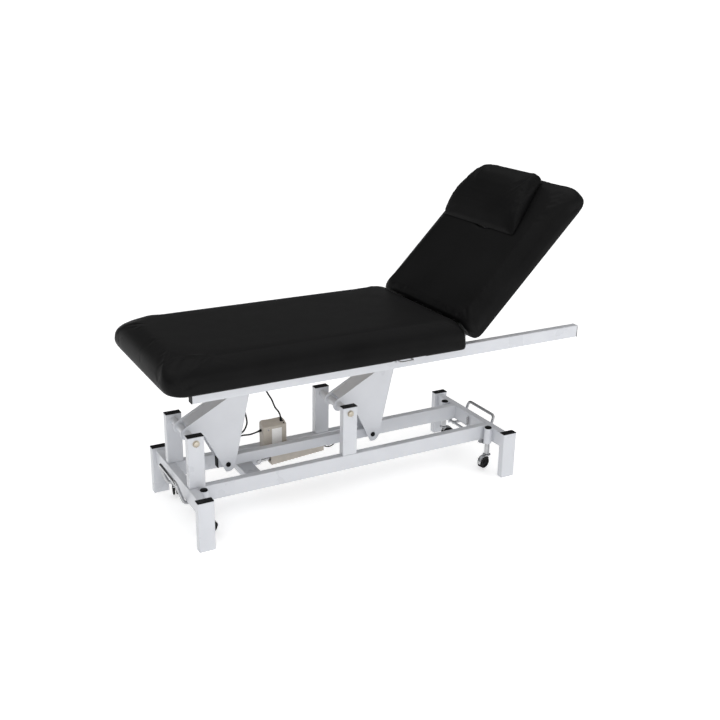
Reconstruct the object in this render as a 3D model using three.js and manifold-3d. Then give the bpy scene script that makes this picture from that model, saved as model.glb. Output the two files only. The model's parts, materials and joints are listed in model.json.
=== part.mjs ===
// Examination couch: a two-section padded couch on a parallelogram lift.
// Millimetres, +Z up, +X towards the head end, +Y away from the operating side.
// The origin is on the floor, under the middle of the couch.

import * as THREE from "three";
import { ConvexGeometry } from "three/addons/geometries/ConvexGeometry.js";
import { mergeVertices } from "three/addons/utils/BufferGeometryUtils.js";
import Module from "manifold-3d";

const wasm = await Module();
wasm.setup();

// Whole couch
const FOOT_END = -859;
const HEAD_END = 859;
const COUCH_WIDTH = 640;

// Steel tube and running clearances
const TUBE_WALL = 2;
const GAP = 0.3;
const ROUND_SIDES = 16;

// Lower frame
const END_FRAME_X = { foot: -724, head: 561 };
const LEG = { length: 60, width: 30, centreY: 252, height: 188 };
const RAIL = { width: 30, centreY: 118, bottom: 120, top: 180 };
const BEAM_WIDTH = 30;
const POST_TOP = 374;
const CROSSBAR = { x: -457, length: 60, bottom: 118, top: 148 };

// Lift: two cranks turn about A in the posts, carry the top frame at B and the tie bar at C
const PIVOT_A = { foot: { x: -705, z: 350 }, head: { x: -96, z: 350 } };
const A_TO_B = { x: 225, z: 125 };
const A_TO_C = { x: 152, z: -151 };
const CRANK_PLATE = { outerY: 40, thickness: 6 };
const CRANK_TUBE_RADIUS = 15;
const AXLE_RADIUS = 8;
const PIN_RADIUS = 6;
const TIE_BAR = { width: 30, height: 40, overhang: 29 };

// Actuator between the crossbar and the tie bar
const ACTUATOR_Y = 42;
const ROD_PIVOT = { x: -404, z: 147 };
const BODY_PIVOT = { x: -104, z: 168 };
const ACTUATOR_CASE = { start: 49, endMargin: 25, width: 40, height: 52, boreRadius: 17 };
const ACTUATOR_ROD = { radius: 10, length: 150 };
const ACTUATOR_PIN_RADIUS = 5;

// Top frame
const TOP_RAIL = { start: -757, centreY: 252, width: 30, bottom: 556, top: 604 };
const FOOT_CROSS_TUBE = { start: -709, width: 30 };
const LUG = { innerY: 24, outerY: 30 };
const RELEASE_LOOP = { left: 19.5, right: 71.5, pivotY: -275, reachY: -297, z: 590, radius: 3 };

// Seat cushion, resting on the top rails
const SEAT = { footX: FOOT_END, headX: 288, bottom: 604, top: 702, board: 12, edge: 45 };
const SEAT_CORNERS = { foot: 100, head: 50 };
const COVER_THICKNESS = 4;

// Backrest, measured in its own frame: u along it from the hinge, n out of its padded face
const HINGE = { x: 298, z: 640 };
const BACKREST_ANGLE = THREE.MathUtils.degToRad(45.5);
const BACKREST = { startU: 20, endU: 712, back: -35.5, face: 54, board: 9, edge: 45 };
const BACKREST_CORNERS = { seat: 50, crown: 100 };
const BACKREST_FRAME = { startU: 20, endU: 640, crossU: 310, bottom: -62, outerY: 210, tube: 25 };
const FACE_HOLE = { u: 513, length: 170, width: 130, corner: 55 };
const HINGE_ROD_RADIUS = 5;
const HINGE_EYE_RADIUS = 9;
const FIXED_HINGE_PLATE = { innerY: 214, outerY: 219 };
const MOVING_HINGE_PLATE = { innerY: 208, outerY: 212 };

// Wedge pillow, in the backrest's frame: rounded corners, thin at the neck and thick at the crown
const PILLOW = {
  rounding: 12,
  neck: { u: 440, nearY: -178, farY: 272, thickness: 26 },
  crown: { u: 676, nearY: -108, farY: 190, thickness: 56 },
};

// Gas spring under the backrest
const GAS_FOOT = { x: HINGE.x + 30, z: HINGE.z - 62 };
const GAS_HEAD = { u: 300, n: -52 };
const GAS_CYLINDER = { length: 190, radius: 12, boreRadius: 10 };
const GAS_ROD = { radius: 4, length: 176 };
const GAS_CYLINDER_TILT = -0.0065;
const GAS_ROD_TILT = -0.0084;
const GAS_PIN_RADIUS = 4;
const GAS_LUG = { innerY: 10.5, outerY: 14.5, radius: 9 };

// Casters and their pedals
const CASTER_X = { foot: -693, head: 530 };
const CASTER_Y = 160.5;
const HOUSING = { radius: 16, bottom: 114.5 };
const STEM = { radius: 11, bottom: 67, top: 152 };
const WHEEL = { radius: 25, innerY: 3, outerY: 10.5, axleRadius: 3, centreZ: 34.5, trail: 18 };
const HOOD = { inner: 26.2, outer: 28.2, halfWidth: 10.5 };
const CASTER_TURN = {
  foot: { near: 180, far: 258 },
  head: { near: 12, far: 170 },
};
const PEDAL_SHAFT = { footX: -696, headX: 533, z: 108, radius: 6, halfLength: 140 };
const PEDAL_BAR = { reach: 76, rise: 85, halfWidth: 91, radius: 6.5 };

// Control box on the far rail
const CONTROL_BOX = { left: -368, right: -269, bottom: 162, top: 284, front: 65, back: 103, frontTop: 266 };

// Leads, as the points that each runs through
const LEAD_RADIUS = 3.2;
const ACTUATOR_LEAD_RADIUS = 2.4;
const HANDSET_LEAD = [
  [-284, 84, 277.4], [-286, 84, 292], [-294, 84, 314], [-309, 84, 336], [-321, 84, 367], [-335, 84, 392],
  [-348, 82, 414], [-370, 76, 440], [-400, 66, 462], [-436, 56, 478], [-474, 50, 484],
];
const LOOPED_LEAD = [
  [-369.4, 84, 250.5], [-388, 84, 246], [-414, 84, 242], [-447, 84, 244], [-480, 76, 243], [-500, 64, 249],
  [-492, 57, 260], [-468, 57, 264], [-448, 59, 276], [-436, 60, 300], [-438, 60, 328], [-446, 58, 360],
  [-460, 54, 400], [-474, 50, 440], [-478, 50, 462],
];
const ACTUATOR_LEAD = [
  [-127.2, 25, 160], [-121, 24, 157], [-110, 21, 154.5], [-94, 20.8, 157], [-79, 20.8, 169],
  [-70, 21.5, 186], [-65.5, 23, 199], [-64, 21.5, 206], [-64, 17, 208.5],
];

const WHITE_PAINT = { color: 0xe6e9ea, roughness: 0.35, metalness: 0.1 };
const BLACK_VINYL = { color: 0x1d1d1f, roughness: 0.45, metalness: 0 };
const FOAM = { color: 0xd9c98a, roughness: 0.95, metalness: 0 };
const PLYWOOD = { color: 0xb08a5a, roughness: 0.8, metalness: 0 };
const CHROME = { color: 0xc8ccd0, roughness: 0.12, metalness: 1 };
const YELLOW_ZINC = { color: 0xb39b5c, roughness: 0.3, metalness: 1 };
const GREY_PLASTIC = { color: 0xa8a097, roughness: 0.5, metalness: 0 };
const BLACK_RUBBER = { color: 0x141414, roughness: 0.7, metalness: 0 };
const SIDES = [["near", -1], ["far", 1]];

const couch = new THREE.Group();

// ---------- solids ----------

function toSolid(geometry) {
  const bare = geometry.clone();
  bare.deleteAttribute("normal");
  bare.deleteAttribute("uv");
  const merged = mergeVertices(bare, 1e-4);
  return new wasm.Manifold(new wasm.Mesh({
    numProp: 3,
    vertProperties: new Float32Array(merged.attributes.position.array),
    triVerts: new Uint32Array(merged.index.array),
  }));
}

function toGeometry(solid) {
  const { vertProperties, triVerts } = solid.getMesh();
  const geometry = new THREE.BufferGeometry();
  geometry.setAttribute("position", new THREE.BufferAttribute(vertProperties, 3));
  geometry.setIndex(new THREE.BufferAttribute(triVerts, 1));
  geometry.computeVertexNormals();
  return geometry;
}

function join(first, ...others) {
  return others.reduce((whole, piece) => whole.add(piece), first);
}

function cut(first, ...others) {
  return others.reduce((whole, piece) => whole.subtract(piece), first);
}

function box(x0, x1, y0, y1, z0, z1) {
  const geometry = new THREE.BoxGeometry(x1 - x0, y1 - y0, z1 - z0);
  geometry.translate((x0 + x1) / 2, (y0 + y1) / 2, (z0 + z1) / 2);
  return toSolid(geometry);
}

// A box as long as the tube's hollow, run out a little past both of its ends
function hollowOf(axis, x0, x1, y0, y1, z0, z1) {
  const grow = { x: -TUBE_WALL, y: -TUBE_WALL, z: -TUBE_WALL, [axis]: 1 };
  return box(x0 - grow.x, x1 + grow.x, y0 - grow.y, y1 + grow.y, z0 - grow.z, z1 + grow.z);
}

function tube(axis, ...bounds) {
  return cut(box(...bounds), hollowOf(axis, ...bounds));
}

function cylinder(axis, radius, from, to, a, b, sides = ROUND_SIDES) {
  const geometry = new THREE.CylinderGeometry(radius, radius, to - from, sides);
  const middle = (from + to) / 2;
  if (axis === "x") {
    geometry.rotateZ(-Math.PI / 2);
    geometry.translate(middle, a, b);
  } else if (axis === "y") {
    geometry.translate(a, middle, b);
  } else {
    geometry.rotateX(Math.PI / 2);
    geometry.translate(a, b, middle);
  }
  return toSolid(geometry);
}

// A plate cut from a side-view outline (X to the right, Z up), between two Y stations
function sidePlate(outline, y0, y1) {
  const geometry = new THREE.ExtrudeGeometry(outline, {
    depth: y1 - y0,
    bevelEnabled: false,
    curveSegments: 5,
  });
  geometry.rotateX(Math.PI / 2);
  geometry.translate(0, y1, 0);
  return toSolid(geometry);
}

function polygon(points) {
  return new THREE.Shape(points.map(([x, z]) => new THREE.Vector2(x, z)));
}

function roundedRectangle(x0, x1, y0, y1, footRadius, headRadius) {
  const shape = new THREE.Shape();
  shape.moveTo(x0 + footRadius, y0);
  shape.lineTo(x1 - headRadius, y0);
  shape.absarc(x1 - headRadius, y0 + headRadius, headRadius, -Math.PI / 2, 0);
  shape.lineTo(x1, y1 - headRadius);
  shape.absarc(x1 - headRadius, y1 - headRadius, headRadius, 0, Math.PI / 2);
  shape.lineTo(x0 + footRadius, y1);
  shape.absarc(x0 + footRadius, y1 - footRadius, footRadius, Math.PI / 2, Math.PI);
  shape.lineTo(x0, y0 + footRadius);
  shape.absarc(x0 + footRadius, y0 + footRadius, footRadius, Math.PI, 1.5 * Math.PI);
  return shape;
}

// A rod bent round smooth corners: straight runs joined by quadratic bends
function bentRod(points, bend, radius, steps, sides = 8) {
  const corners = points.map(([x, y, z]) => new THREE.Vector3(x, y, z));
  const path = new THREE.CurvePath();
  let from = corners[0];
  for (let i = 1; i < corners.length - 1; i += 1) {
    const corner = corners[i];
    const back = corners[i - 1].clone().sub(corner).setLength(bend).add(corner);
    const onward = corners[i + 1].clone().sub(corner).setLength(bend).add(corner);
    path.add(new THREE.LineCurve3(from, back));
    path.add(new THREE.QuadraticBezierCurve3(back, corner, onward));
    from = onward;
  }
  path.add(new THREE.LineCurve3(from, corners.at(-1)));
  return extrudedAlong(path, radius, steps, sides);
}

function extrudedAlong(path, radius, steps, sides) {
  const section = new THREE.Shape();
  for (let i = 0; i < sides; i += 1) {
    const angle = (i / sides) * 2 * Math.PI;
    const x = radius * Math.cos(angle);
    const y = radius * Math.sin(angle);
    if (i === 0) section.moveTo(x, y);
    else section.lineTo(x, y);
  }
  return toSolid(new THREE.ExtrudeGeometry(section, { steps, extrudePath: path, bevelEnabled: false }));
}

function add(name, solid, look, group = couch) {
  const material = new THREE.MeshStandardMaterial(look);
  const mesh = new THREE.Mesh(toGeometry(solid), material);
  mesh.name = name;
  group.add(mesh);
}

// ---------- lower frame ----------

// The inside of an upright tube, open at the top and closed by a floor 3 mm thick
function uprightHollow(x0, x1, y0, y1, z0, z1) {
  return box(x0 + TUBE_WALL, x1 - TUBE_WALL, y0 + TUBE_WALL, y1 - TUBE_WALL, z0 + 3, z1 + 1);
}

function endFrame(end) {
  const x = END_FRAME_X[end];
  const inward = end === "foot" ? 1 : -1;
  const legInnerY = LEG.centreY - LEG.width / 2;
  const beam = [x - BEAM_WIDTH / 2, x + BEAM_WIDTH / 2, -legInnerY - 1, legInnerY + 1, RAIL.bottom, RAIL.top];
  let metal = box(...beam);
  let hollows = hollowOf("y", ...beam);
  for (const side of [-1, 1]) {
    const y = side * LEG.centreY;
    const leg = [x - LEG.length / 2, x + LEG.length / 2, y - LEG.width / 2, y + LEG.width / 2, 0, LEG.height];
    metal = join(metal, box(...leg), casterHousing(end, inward, side));
    hollows = join(
      hollows,
      uprightHollow(...leg),
      cylinder("z", STEM.radius + 0.5, HOUSING.bottom - 1, RAIL.top + 1, CASTER_X[end], side * CASTER_Y),
    );
  }
  return cut(metal, hollows);
}

function casterHousing(end, inward, side) {
  const x = CASTER_X[end];
  const beamFace = END_FRAME_X[end] + (inward * BEAM_WIDTH) / 2;
  const webX = [x, beamFace - inward * 0.5].sort((a, b) => a - b);
  const web = box(...webX, side * CASTER_Y - 9, side * CASTER_Y + 9, RAIL.bottom, RAIL.top);
  return join(cylinder("z", HOUSING.radius, HOUSING.bottom, RAIL.top, x, side * CASTER_Y), web);
}

function lowerRail(side) {
  const start = END_FRAME_X.foot + BEAM_WIDTH / 2;
  const end = END_FRAME_X.head - BEAM_WIDTH / 2;
  const y0 = side * RAIL.centreY - RAIL.width / 2;
  let rail = tube("x", start, end, y0, y0 + RAIL.width, RAIL.bottom, RAIL.top);
  for (const shaftX of [PEDAL_SHAFT.footX, PEDAL_SHAFT.headX]) {
    const y = side * RAIL.centreY;
    const bearing = box(shaftX - 10, shaftX + 10, y - 3, y + 3, PEDAL_SHAFT.z - 11, RAIL.bottom + 1);
    const bore = cylinder("y", PEDAL_SHAFT.radius + 0.4, y - 4, y + 4, shaftX, PEDAL_SHAFT.z);
    rail = join(rail, cut(bearing, bore));
  }
  return rail;
}

function post(end, side) {
  const x = PIVOT_A[end].x;
  const y = side * RAIL.centreY;
  const bounds = [x - 30, x + 30, y - 15, y + 15, RAIL.top, POST_TOP];
  const bore = cylinder("y", AXLE_RADIUS + GAP, y - 16, y + 16, x, PIVOT_A[end].z);
  return cut(box(...bounds), uprightHollow(...bounds), bore);
}

function pinBore(radius, place, y0, y1) {
  return cylinder("y", radius + GAP, y0, y1, place.x, place.z);
}

function crossbar() {
  const innerY = RAIL.centreY - RAIL.width / 2;
  const x0 = CROSSBAR.x - CROSSBAR.length / 2;
  const x1 = CROSSBAR.x + CROSSBAR.length / 2;
  let bar = tube("y", x0, x1, -innerY, innerY, CROSSBAR.bottom, CROSSBAR.top);
  for (const y0 of [ACTUATOR_Y - 12, ACTUATOR_Y + 8]) {
    const ear = join(
      box(x1 - 1, ROD_PIVOT.x, y0, y0 + 4, ROD_PIVOT.z - 12, ROD_PIVOT.z + 12),
      cylinder("y", 12, y0, y0 + 4, ROD_PIVOT.x, ROD_PIVOT.z),
    );
    bar = join(bar, ear);
  }
  return cut(bar, pinBore(ACTUATOR_PIN_RADIUS, ROD_PIVOT, ACTUATOR_Y - 13, ACTUATOR_Y + 13));
}

for (const end of ["foot", "head"]) {
  add(`${end}_end_frame`, endFrame(end), WHITE_PAINT);
}
for (const [sideName, side] of SIDES) {
  add(`lower_rail_${sideName}`, lowerRail(side), WHITE_PAINT);
  for (const end of ["foot", "head"]) {
    add(`post_${end}_${sideName}`, post(end, side), WHITE_PAINT);
  }
}
add("actuator_crossbar", crossbar(), WHITE_PAINT);

// ---------- parallelogram lift ----------

function headedPin(place, radius, halfGrip, headRadius, headHeight, middleY = 0, headSides = ROUND_SIDES) {
  const reach = halfGrip + GAP + headHeight;
  const shank = cylinder("y", radius, middleY - reach, middleY + reach, place.x, place.z);
  const heads = [-1, 1].map((side) => {
    const inner = middleY + side * (halfGrip + GAP);
    const outer = middleY + side * reach;
    const span = [inner, outer].sort((a, b) => a - b);
    return cylinder("y", headRadius, ...span, place.x, place.z, headSides);
  });
  return join(shank, ...heads);
}

function pivotB(end) {
  return { x: PIVOT_A[end].x + A_TO_B.x, z: PIVOT_A[end].z + A_TO_B.z };
}

function pivotC(end) {
  return { x: PIVOT_A[end].x + A_TO_C.x, z: PIVOT_A[end].z + A_TO_C.z };
}

// The crank's side view, about its own pivot A: a bell crank with a long toe down to C
function crankOutline() {
  const aRadius = 24;
  const bRadius = 19;
  const cRadius = 29;
  const topEdge = Math.atan2(A_TO_B.z, A_TO_B.x) + Math.PI / 2;
  const rightEdge = Math.atan2(A_TO_C.z - A_TO_B.z, A_TO_C.x - A_TO_B.x) + Math.PI / 2;
  const outline = new THREE.Shape();
  outline.absarc(0, 0, aRadius, THREE.MathUtils.degToRad(282), topEdge, true);
  outline.absarc(A_TO_B.x, A_TO_B.z, bRadius, topEdge, rightEdge, true);
  outline.absarc(A_TO_C.x, A_TO_C.z, cRadius, rightEdge, THREE.MathUtils.degToRad(-109), true);
  outline.lineTo(66, -23);
  outline.quadraticCurveTo(58, -12, 44, -15);
  return outline;
}

function crank(end) {
  const place = PIVOT_A[end];
  const outer = CRANK_PLATE.outerY;
  const inner = outer - CRANK_PLATE.thickness;
  const tubeReach = RAIL.centreY - RAIL.width / 2 - GAP;
  const bossInner = TIE_BAR.width / 2 + 0.6;
  let metal = cylinder("y", CRANK_TUBE_RADIUS, -tubeReach, tubeReach, 0, 0);
  for (const side of [-1, 1]) {
    const [y0, y1] = [side * inner, side * outer].sort((a, b) => a - b);
    const [boss0, boss1] = [side * bossInner, side * (inner + 1)].sort((a, b) => a - b);
    metal = join(
      metal,
      sidePlate(crankOutline(), y0, y1),
      cylinder("y", 11, boss0, boss1, A_TO_C.x, A_TO_C.z),
    );
  }
  const slope = Math.atan2(A_TO_B.z, A_TO_B.x);
  const web = new THREE.BoxGeometry(172, 2 * inner + 1, 5);
  web.translate(104, 0, 16.5);
  web.rotateY(-slope);
  metal = join(metal, toSolid(web));
  const bores = [
    cylinder("y", AXLE_RADIUS + 0.5, -tubeReach - 1, tubeReach + 1, 0, 0),
    cylinder("y", PIN_RADIUS + GAP, -outer - 1, outer + 1, A_TO_B.x, A_TO_B.z),
    cylinder("y", PIN_RADIUS + GAP, -outer - 1, outer + 1, A_TO_C.x, A_TO_C.z),
  ];
  return cut(metal, ...bores).translate([place.x, 0, place.z]);
}

function tieBar() {
  const start = pivotC("foot").x - TIE_BAR.overhang;
  const stop = pivotC("head").x + TIE_BAR.overhang;
  const { z } = pivotC("foot");
  const half = TIE_BAR.width / 2;
  let bar = tube("x", start, stop, -half, half, z - TIE_BAR.height / 2, z + TIE_BAR.height / 2);
  const { x: pinX, z: pinZ } = BODY_PIVOT;
  const shelf = box(pinX - 20, pinX + 20, half - 1, ACTUATOR_Y + 15, pinZ + 18, pinZ + 22);
  bar = join(bar, shelf);
  for (const y0 of [ACTUATOR_Y - 15, ACTUATOR_Y + 11]) {
    const ear = box(pinX - 13, pinX + 13, y0, y0 + 4, pinZ, pinZ + 19);
    bar = join(bar, ear, cylinder("y", 13, y0, y0 + 4, pinX, pinZ));
  }
  const bores = ["foot", "head"].map((end) => pinBore(PIN_RADIUS, pivotC(end), -half - 1, half + 1));
  const actuatorBore = pinBore(ACTUATOR_PIN_RADIUS, BODY_PIVOT, ACTUATOR_Y - 16, ACTUATOR_Y + 16);
  return cut(bar, ...bores, actuatorBore);
}

for (const end of ["foot", "head"]) {
  const postFace = RAIL.centreY + RAIL.width / 2;
  add(`pivot_axle_${end}`, headedPin(PIVOT_A[end], AXLE_RADIUS, postFace, 12, 8, 0, 6), YELLOW_ZINC);
  add(`lift_crank_${end}`, crank(end), WHITE_PAINT);
  add(`upper_pin_${end}`, headedPin(pivotB(end), PIN_RADIUS, CRANK_PLATE.outerY, 9, 4), BLACK_RUBBER);
  add(`lower_pin_${end}`, headedPin(pivotC(end), PIN_RADIUS, CRANK_PLATE.outerY, 9.5, 4), BLACK_RUBBER);
}
add("tie_bar", tieBar(), WHITE_PAINT);

// ---------- actuator ----------

const actuatorLine = new THREE.Group();
const actuatorSpan = Math.hypot(BODY_PIVOT.x - ROD_PIVOT.x, BODY_PIVOT.z - ROD_PIVOT.z);
actuatorLine.position.set(ROD_PIVOT.x, ACTUATOR_Y, ROD_PIVOT.z);
actuatorLine.rotation.y = -Math.atan2(BODY_PIVOT.z - ROD_PIVOT.z, BODY_PIVOT.x - ROD_PIVOT.x);
couch.add(actuatorLine);

// Drawn along X from the rod's pivot
function actuatorBody() {
  const { start, endMargin, width, height, boreRadius } = ACTUATOR_CASE;
  const caseEnd = actuatorSpan - endMargin;
  const metal = join(
    box(start, caseEnd, -width / 2, width / 2, -height / 2, height / 2),
    box(caseEnd - 1, actuatorSpan, -8, 8, -9, 9),
    cylinder("y", 12, -9, 9, actuatorSpan, 0),
  );
  const bore = cylinder("x", boreRadius, start - 1, caseEnd - 20, 0, 0);
  const eye = cylinder("y", ACTUATOR_PIN_RADIUS + GAP, -10, 10, actuatorSpan, 0);
  return cut(metal, bore, eye);
}

function actuatorRod() {
  const metal = join(
    cylinder("y", 11, -7.5, 7.5, 0, 0),
    box(2, 16, -7.5, 7.5, -8, 8),
    cylinder("x", ACTUATOR_ROD.radius, 15, ACTUATOR_ROD.length, 0, 0),
  );
  return cut(metal, cylinder("y", ACTUATOR_PIN_RADIUS + GAP, -11, 11, 0, 0));
}

add("actuator_body", actuatorBody(), GREY_PLASTIC, actuatorLine);
add("actuator_rod", actuatorRod(), CHROME, actuatorLine);
add("actuator_rod_pin", headedPin(ROD_PIVOT, ACTUATOR_PIN_RADIUS, 12, 8, 3, ACTUATOR_Y), CHROME);
add("actuator_body_pin", headedPin(BODY_PIVOT, ACTUATOR_PIN_RADIUS, 15, 8, 3, ACTUATOR_Y), CHROME);

// ---------- top frame ----------

function topRail(side) {
  const y0 = side * TOP_RAIL.centreY - TOP_RAIL.width / 2;
  return tube("x", TOP_RAIL.start, HEAD_END, y0, y0 + TOP_RAIL.width, TOP_RAIL.bottom, TOP_RAIL.top);
}

const topInnerY = TOP_RAIL.centreY - TOP_RAIL.width / 2;

// The two plates that hang from a lift cross tube down to pivot B
function lugOutline(place) {
  const radius = 20;
  const slope = THREE.MathUtils.degToRad(-60);
  const top = TOP_RAIL.bottom + 6;
  const outline = new THREE.Shape();
  outline.moveTo(place.x - 15, top);
  outline.lineTo(place.x - radius, place.z);
  outline.absarc(place.x, place.z, radius, Math.PI, slope + 2 * Math.PI);
  outline.lineTo(place.x + 150, TOP_RAIL.bottom - 2);
  outline.lineTo(place.x + 150, top);
  return outline;
}

function liftCrossTube(end) {
  const place = pivotB(end);
  const start = place.x + 15;
  let metal = tube("y", start, start + 40, -topInnerY, topInnerY, TOP_RAIL.bottom, TOP_RAIL.bottom + 40);
  for (const y0 of [-LUG.outerY, LUG.innerY]) {
    const plate = sidePlate(lugOutline(place), y0, y0 + LUG.outerY - LUG.innerY);
    metal = join(metal, plate);
  }
  return cut(metal, pinBore(PIN_RADIUS, place, -LUG.outerY - 1, LUG.outerY + 1));
}

// The Y span of a plate on one side of the middle
function spanOf(plate, side) {
  return [side * plate.innerY, side * plate.outerY].sort((a, b) => a - b);
}

// Two lugs and the pin between them, which hold one end of the gas spring
function gasLugs(place, barX) {
  const { radius, outerY } = GAS_LUG;
  const [x0, x1] = [place.x, barX].sort((a, b) => a - b);
  const lugs = SIDES.flatMap(([, side]) => [
    box(x0, x1, ...spanOf(GAS_LUG, side), place.z - radius, place.z + radius),
    cylinder("y", radius, ...spanOf(GAS_LUG, side), place.x, place.z),
  ]);
  return join(...lugs, cylinder("y", GAS_PIN_RADIUS, -outerY, outerY, place.x, place.z));
}

function hingeCrossTube() {
  const tubeHead = HINGE.x - 7;
  const top = TOP_RAIL.top - 0.5;
  let metal = tube("y", tubeHead - 30, tubeHead, -topInnerY, topInnerY, top - 30, top);
  for (const [, side] of SIDES) {
    const span = spanOf(FIXED_HINGE_PLATE, side);
    metal = join(
      metal,
      box(tubeHead - 1, HINGE.x + HINGE_EYE_RADIUS, ...span, top - 28, HINGE.z),
      cylinder("y", HINGE_EYE_RADIUS, ...span, HINGE.x, HINGE.z),
    );
  }
  const bore = pinBore(HINGE_ROD_RADIUS, HINGE, -topInnerY, topInnerY);
  return join(cut(metal, bore), gasLugs(GAS_FOOT, tubeHead - 1));
}

function footCrossTube() {
  const { start, width } = FOOT_CROSS_TUBE;
  return tube("y", start, start + width, -topInnerY, topInnerY, TOP_RAIL.top - width, TOP_RAIL.top);
}

function releaseLugs() {
  const { left, right, pivotY, z, radius } = RELEASE_LOOP;
  const railFace = -TOP_RAIL.centreY - TOP_RAIL.width / 2;
  const lugs = [left - 7, right + 7].map((x) => {
    const lug = box(x - 1.5, x + 1.5, pivotY - 7, railFace + 1, z - 8, z + 8);
    return cut(lug, cylinder("x", radius + GAP, x - 2, x + 2, pivotY, z));
  });
  return join(...lugs);
}

function releaseLoop() {
  const { left, right, pivotY, reachY, z, radius } = RELEASE_LOOP;
  return bentRod([
    [left - 12, pivotY, z],
    [left, pivotY, z],
    [left, reachY, z],
    [right, reachY, z],
    [right, pivotY, z],
    [right + 12, pivotY, z],
  ], 5, radius, 30);
}

add("top_rail_near", join(topRail(-1), releaseLugs()), WHITE_PAINT);
add("top_rail_far", topRail(1), WHITE_PAINT);
add("foot_cross_tube", footCrossTube(), WHITE_PAINT);
for (const end of ["foot", "head"]) {
  add(`lift_cross_tube_${end}`, liftCrossTube(end), WHITE_PAINT);
}
add("hinge_cross_tube", hingeCrossTube(), WHITE_PAINT);
add("backrest_hinge_rod", headedPin(HINGE, HINGE_ROD_RADIUS, FIXED_HINGE_PLATE.outerY, 9, 4), CHROME);
add("release_loop", releaseLoop(), CHROME);

// ---------- cushions ----------

// A padded block: rounded plan corners, rolled upper edges, flat underside
function paddedBlock(plan, bottom, top, edge) {
  const [x0, x1, y0, y1] = plan;
  const shape = roundedRectangle(...inset(plan, edge));
  const geometry = new THREE.ExtrudeGeometry(shape, {
    depth: top - bottom - edge,
    bevelThickness: edge,
    bevelSize: edge,
    bevelSegments: 3,
    curveSegments: 4,
  });
  geometry.translate(0, 0, bottom);
  return cut(toSolid(geometry), box(x0 - 1, x1 + 1, y0 - 1, y1 + 1, bottom - edge - 1, bottom));
}

function inset(plan, distance) {
  const [x0, x1, y0, y1, footRadius, headRadius] = plan;
  return [
    x0 + distance, x1 - distance, y0 + distance, y1 - distance,
    footRadius - distance, headRadius - distance,
  ];
}

// The vinyl cover is open underneath; the foam and the board lie inside it
function upholster(plan, bottom, top, edge, board) {
  const cover = cut(
    paddedBlock(plan, bottom, top, edge),
    paddedBlock(inset(plan, COVER_THICKNESS), bottom - 1, top - COVER_THICKNESS, edge - COVER_THICKNESS),
  );
  const inside = inset(plan, COVER_THICKNESS + GAP);
  const foam = paddedBlock(inside, bottom + board + GAP, top - COVER_THICKNESS - GAP, edge - COVER_THICKNESS);
  const sheet = new THREE.ExtrudeGeometry(roundedRectangle(...inside), {
    depth: board,
    bevelEnabled: false,
    curveSegments: 4,
  });
  sheet.translate(0, 0, bottom);
  return { cover, foam, board: toSolid(sheet) };
}

const halfWidth = COUCH_WIDTH / 2;
const seatPlan = [SEAT.footX, SEAT.headX, -halfWidth, halfWidth, SEAT_CORNERS.foot, SEAT_CORNERS.head];
const seat = upholster(seatPlan, SEAT.bottom, SEAT.top, SEAT.edge, SEAT.board);
add("seat_cover", seat.cover, BLACK_VINYL);
add("seat_foam", seat.foam, FOAM);
add("seat_board", seat.board, PLYWOOD);

// ---------- backrest, drawn flat about the hinge and turned up to its rest angle ----------

const backrest = new THREE.Group();
backrest.position.set(HINGE.x, 0, HINGE.z);
backrest.rotation.y = -BACKREST_ANGLE;
couch.add(backrest);

function faceHole(wider, bottom, top) {
  const { u, length, width, corner } = FACE_HOLE;
  const plan = roundedRectangle(
    ...inset([u - length / 2, u + length / 2, -width / 2, width / 2, corner, corner], -wider),
  );
  const geometry = new THREE.ExtrudeGeometry(plan, {
    depth: top - bottom,
    bevelEnabled: false,
    curveSegments: 4,
  });
  geometry.translate(0, 0, bottom);
  return toSolid(geometry);
}

function backrestUpholstery() {
  const { startU, endU, back, face, board, edge } = BACKREST;
  const plan = [startU, endU, -halfWidth, halfWidth, BACKREST_CORNERS.seat, BACKREST_CORNERS.crown];
  const parts = upholster(plan, back, face, edge, board);
  const collar = faceHole(COVER_THICKNESS, BACKREST.back, BACKREST.face - 2);
  const openHole = faceHole(0, BACKREST.back - 1, BACKREST.face + 1);
  const clearHole = faceHole(COVER_THICKNESS + GAP, BACKREST.back - 1, BACKREST.face + 1);
  return {
    cover: cut(join(parts.cover, collar), openHole),
    foam: cut(parts.foam, clearHole),
    board: cut(parts.board, clearHole),
  };
}

// The moving hinge plate: an eye at the hinge and a foot along the frame tube
function hingePlateOutline() {
  const foot = polygon([[9, -25], [14, -38], [60, -38], [60, -60], [10, -60], [2, -40], [-8.5, -4]]);
  const eye = new THREE.Shape();
  eye.absarc(0, 0, HINGE_EYE_RADIUS, 0, 2 * Math.PI);
  const neck = polygon([[-8.5, -4], [2, -40], [9, -25], [9, 0]]);
  return [foot, eye, neck];
}

function backrestFrame() {
  const { startU, endU, crossU, bottom, outerY, tube: size } = BACKREST_FRAME;
  const top = bottom + size - GAP;
  const bars = [
    ["x", startU, endU, -outerY, size - outerY, bottom, top],
    ["x", startU, endU, outerY - size, outerY, bottom, top],
    ["y", crossU, crossU + size, -outerY + size - 1, outerY - size + 1, bottom, top],
    ["y", endU - size, endU, -outerY + size - 1, outerY - size + 1, bottom, top],
  ];
  let metal = join(...bars.map(([, ...bounds]) => box(...bounds)));
  const hollows = bars.map(([axis, ...bounds]) => hollowOf(axis, ...bounds));
  metal = cut(metal, ...hollows);
  for (const [, side] of SIDES) {
    const span = spanOf(MOVING_HINGE_PLATE, side);
    metal = join(metal, ...hingePlateOutline().map((outline) => sidePlate(outline, ...span)));
  }
  const bore = pinBore(HINGE_ROD_RADIUS, { x: 0, z: 0 }, -outerY - size, outerY + size);
  return join(cut(metal, bore), gasLugs({ x: GAS_HEAD.u, z: GAS_HEAD.n }, crossU + 1));
}

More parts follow.
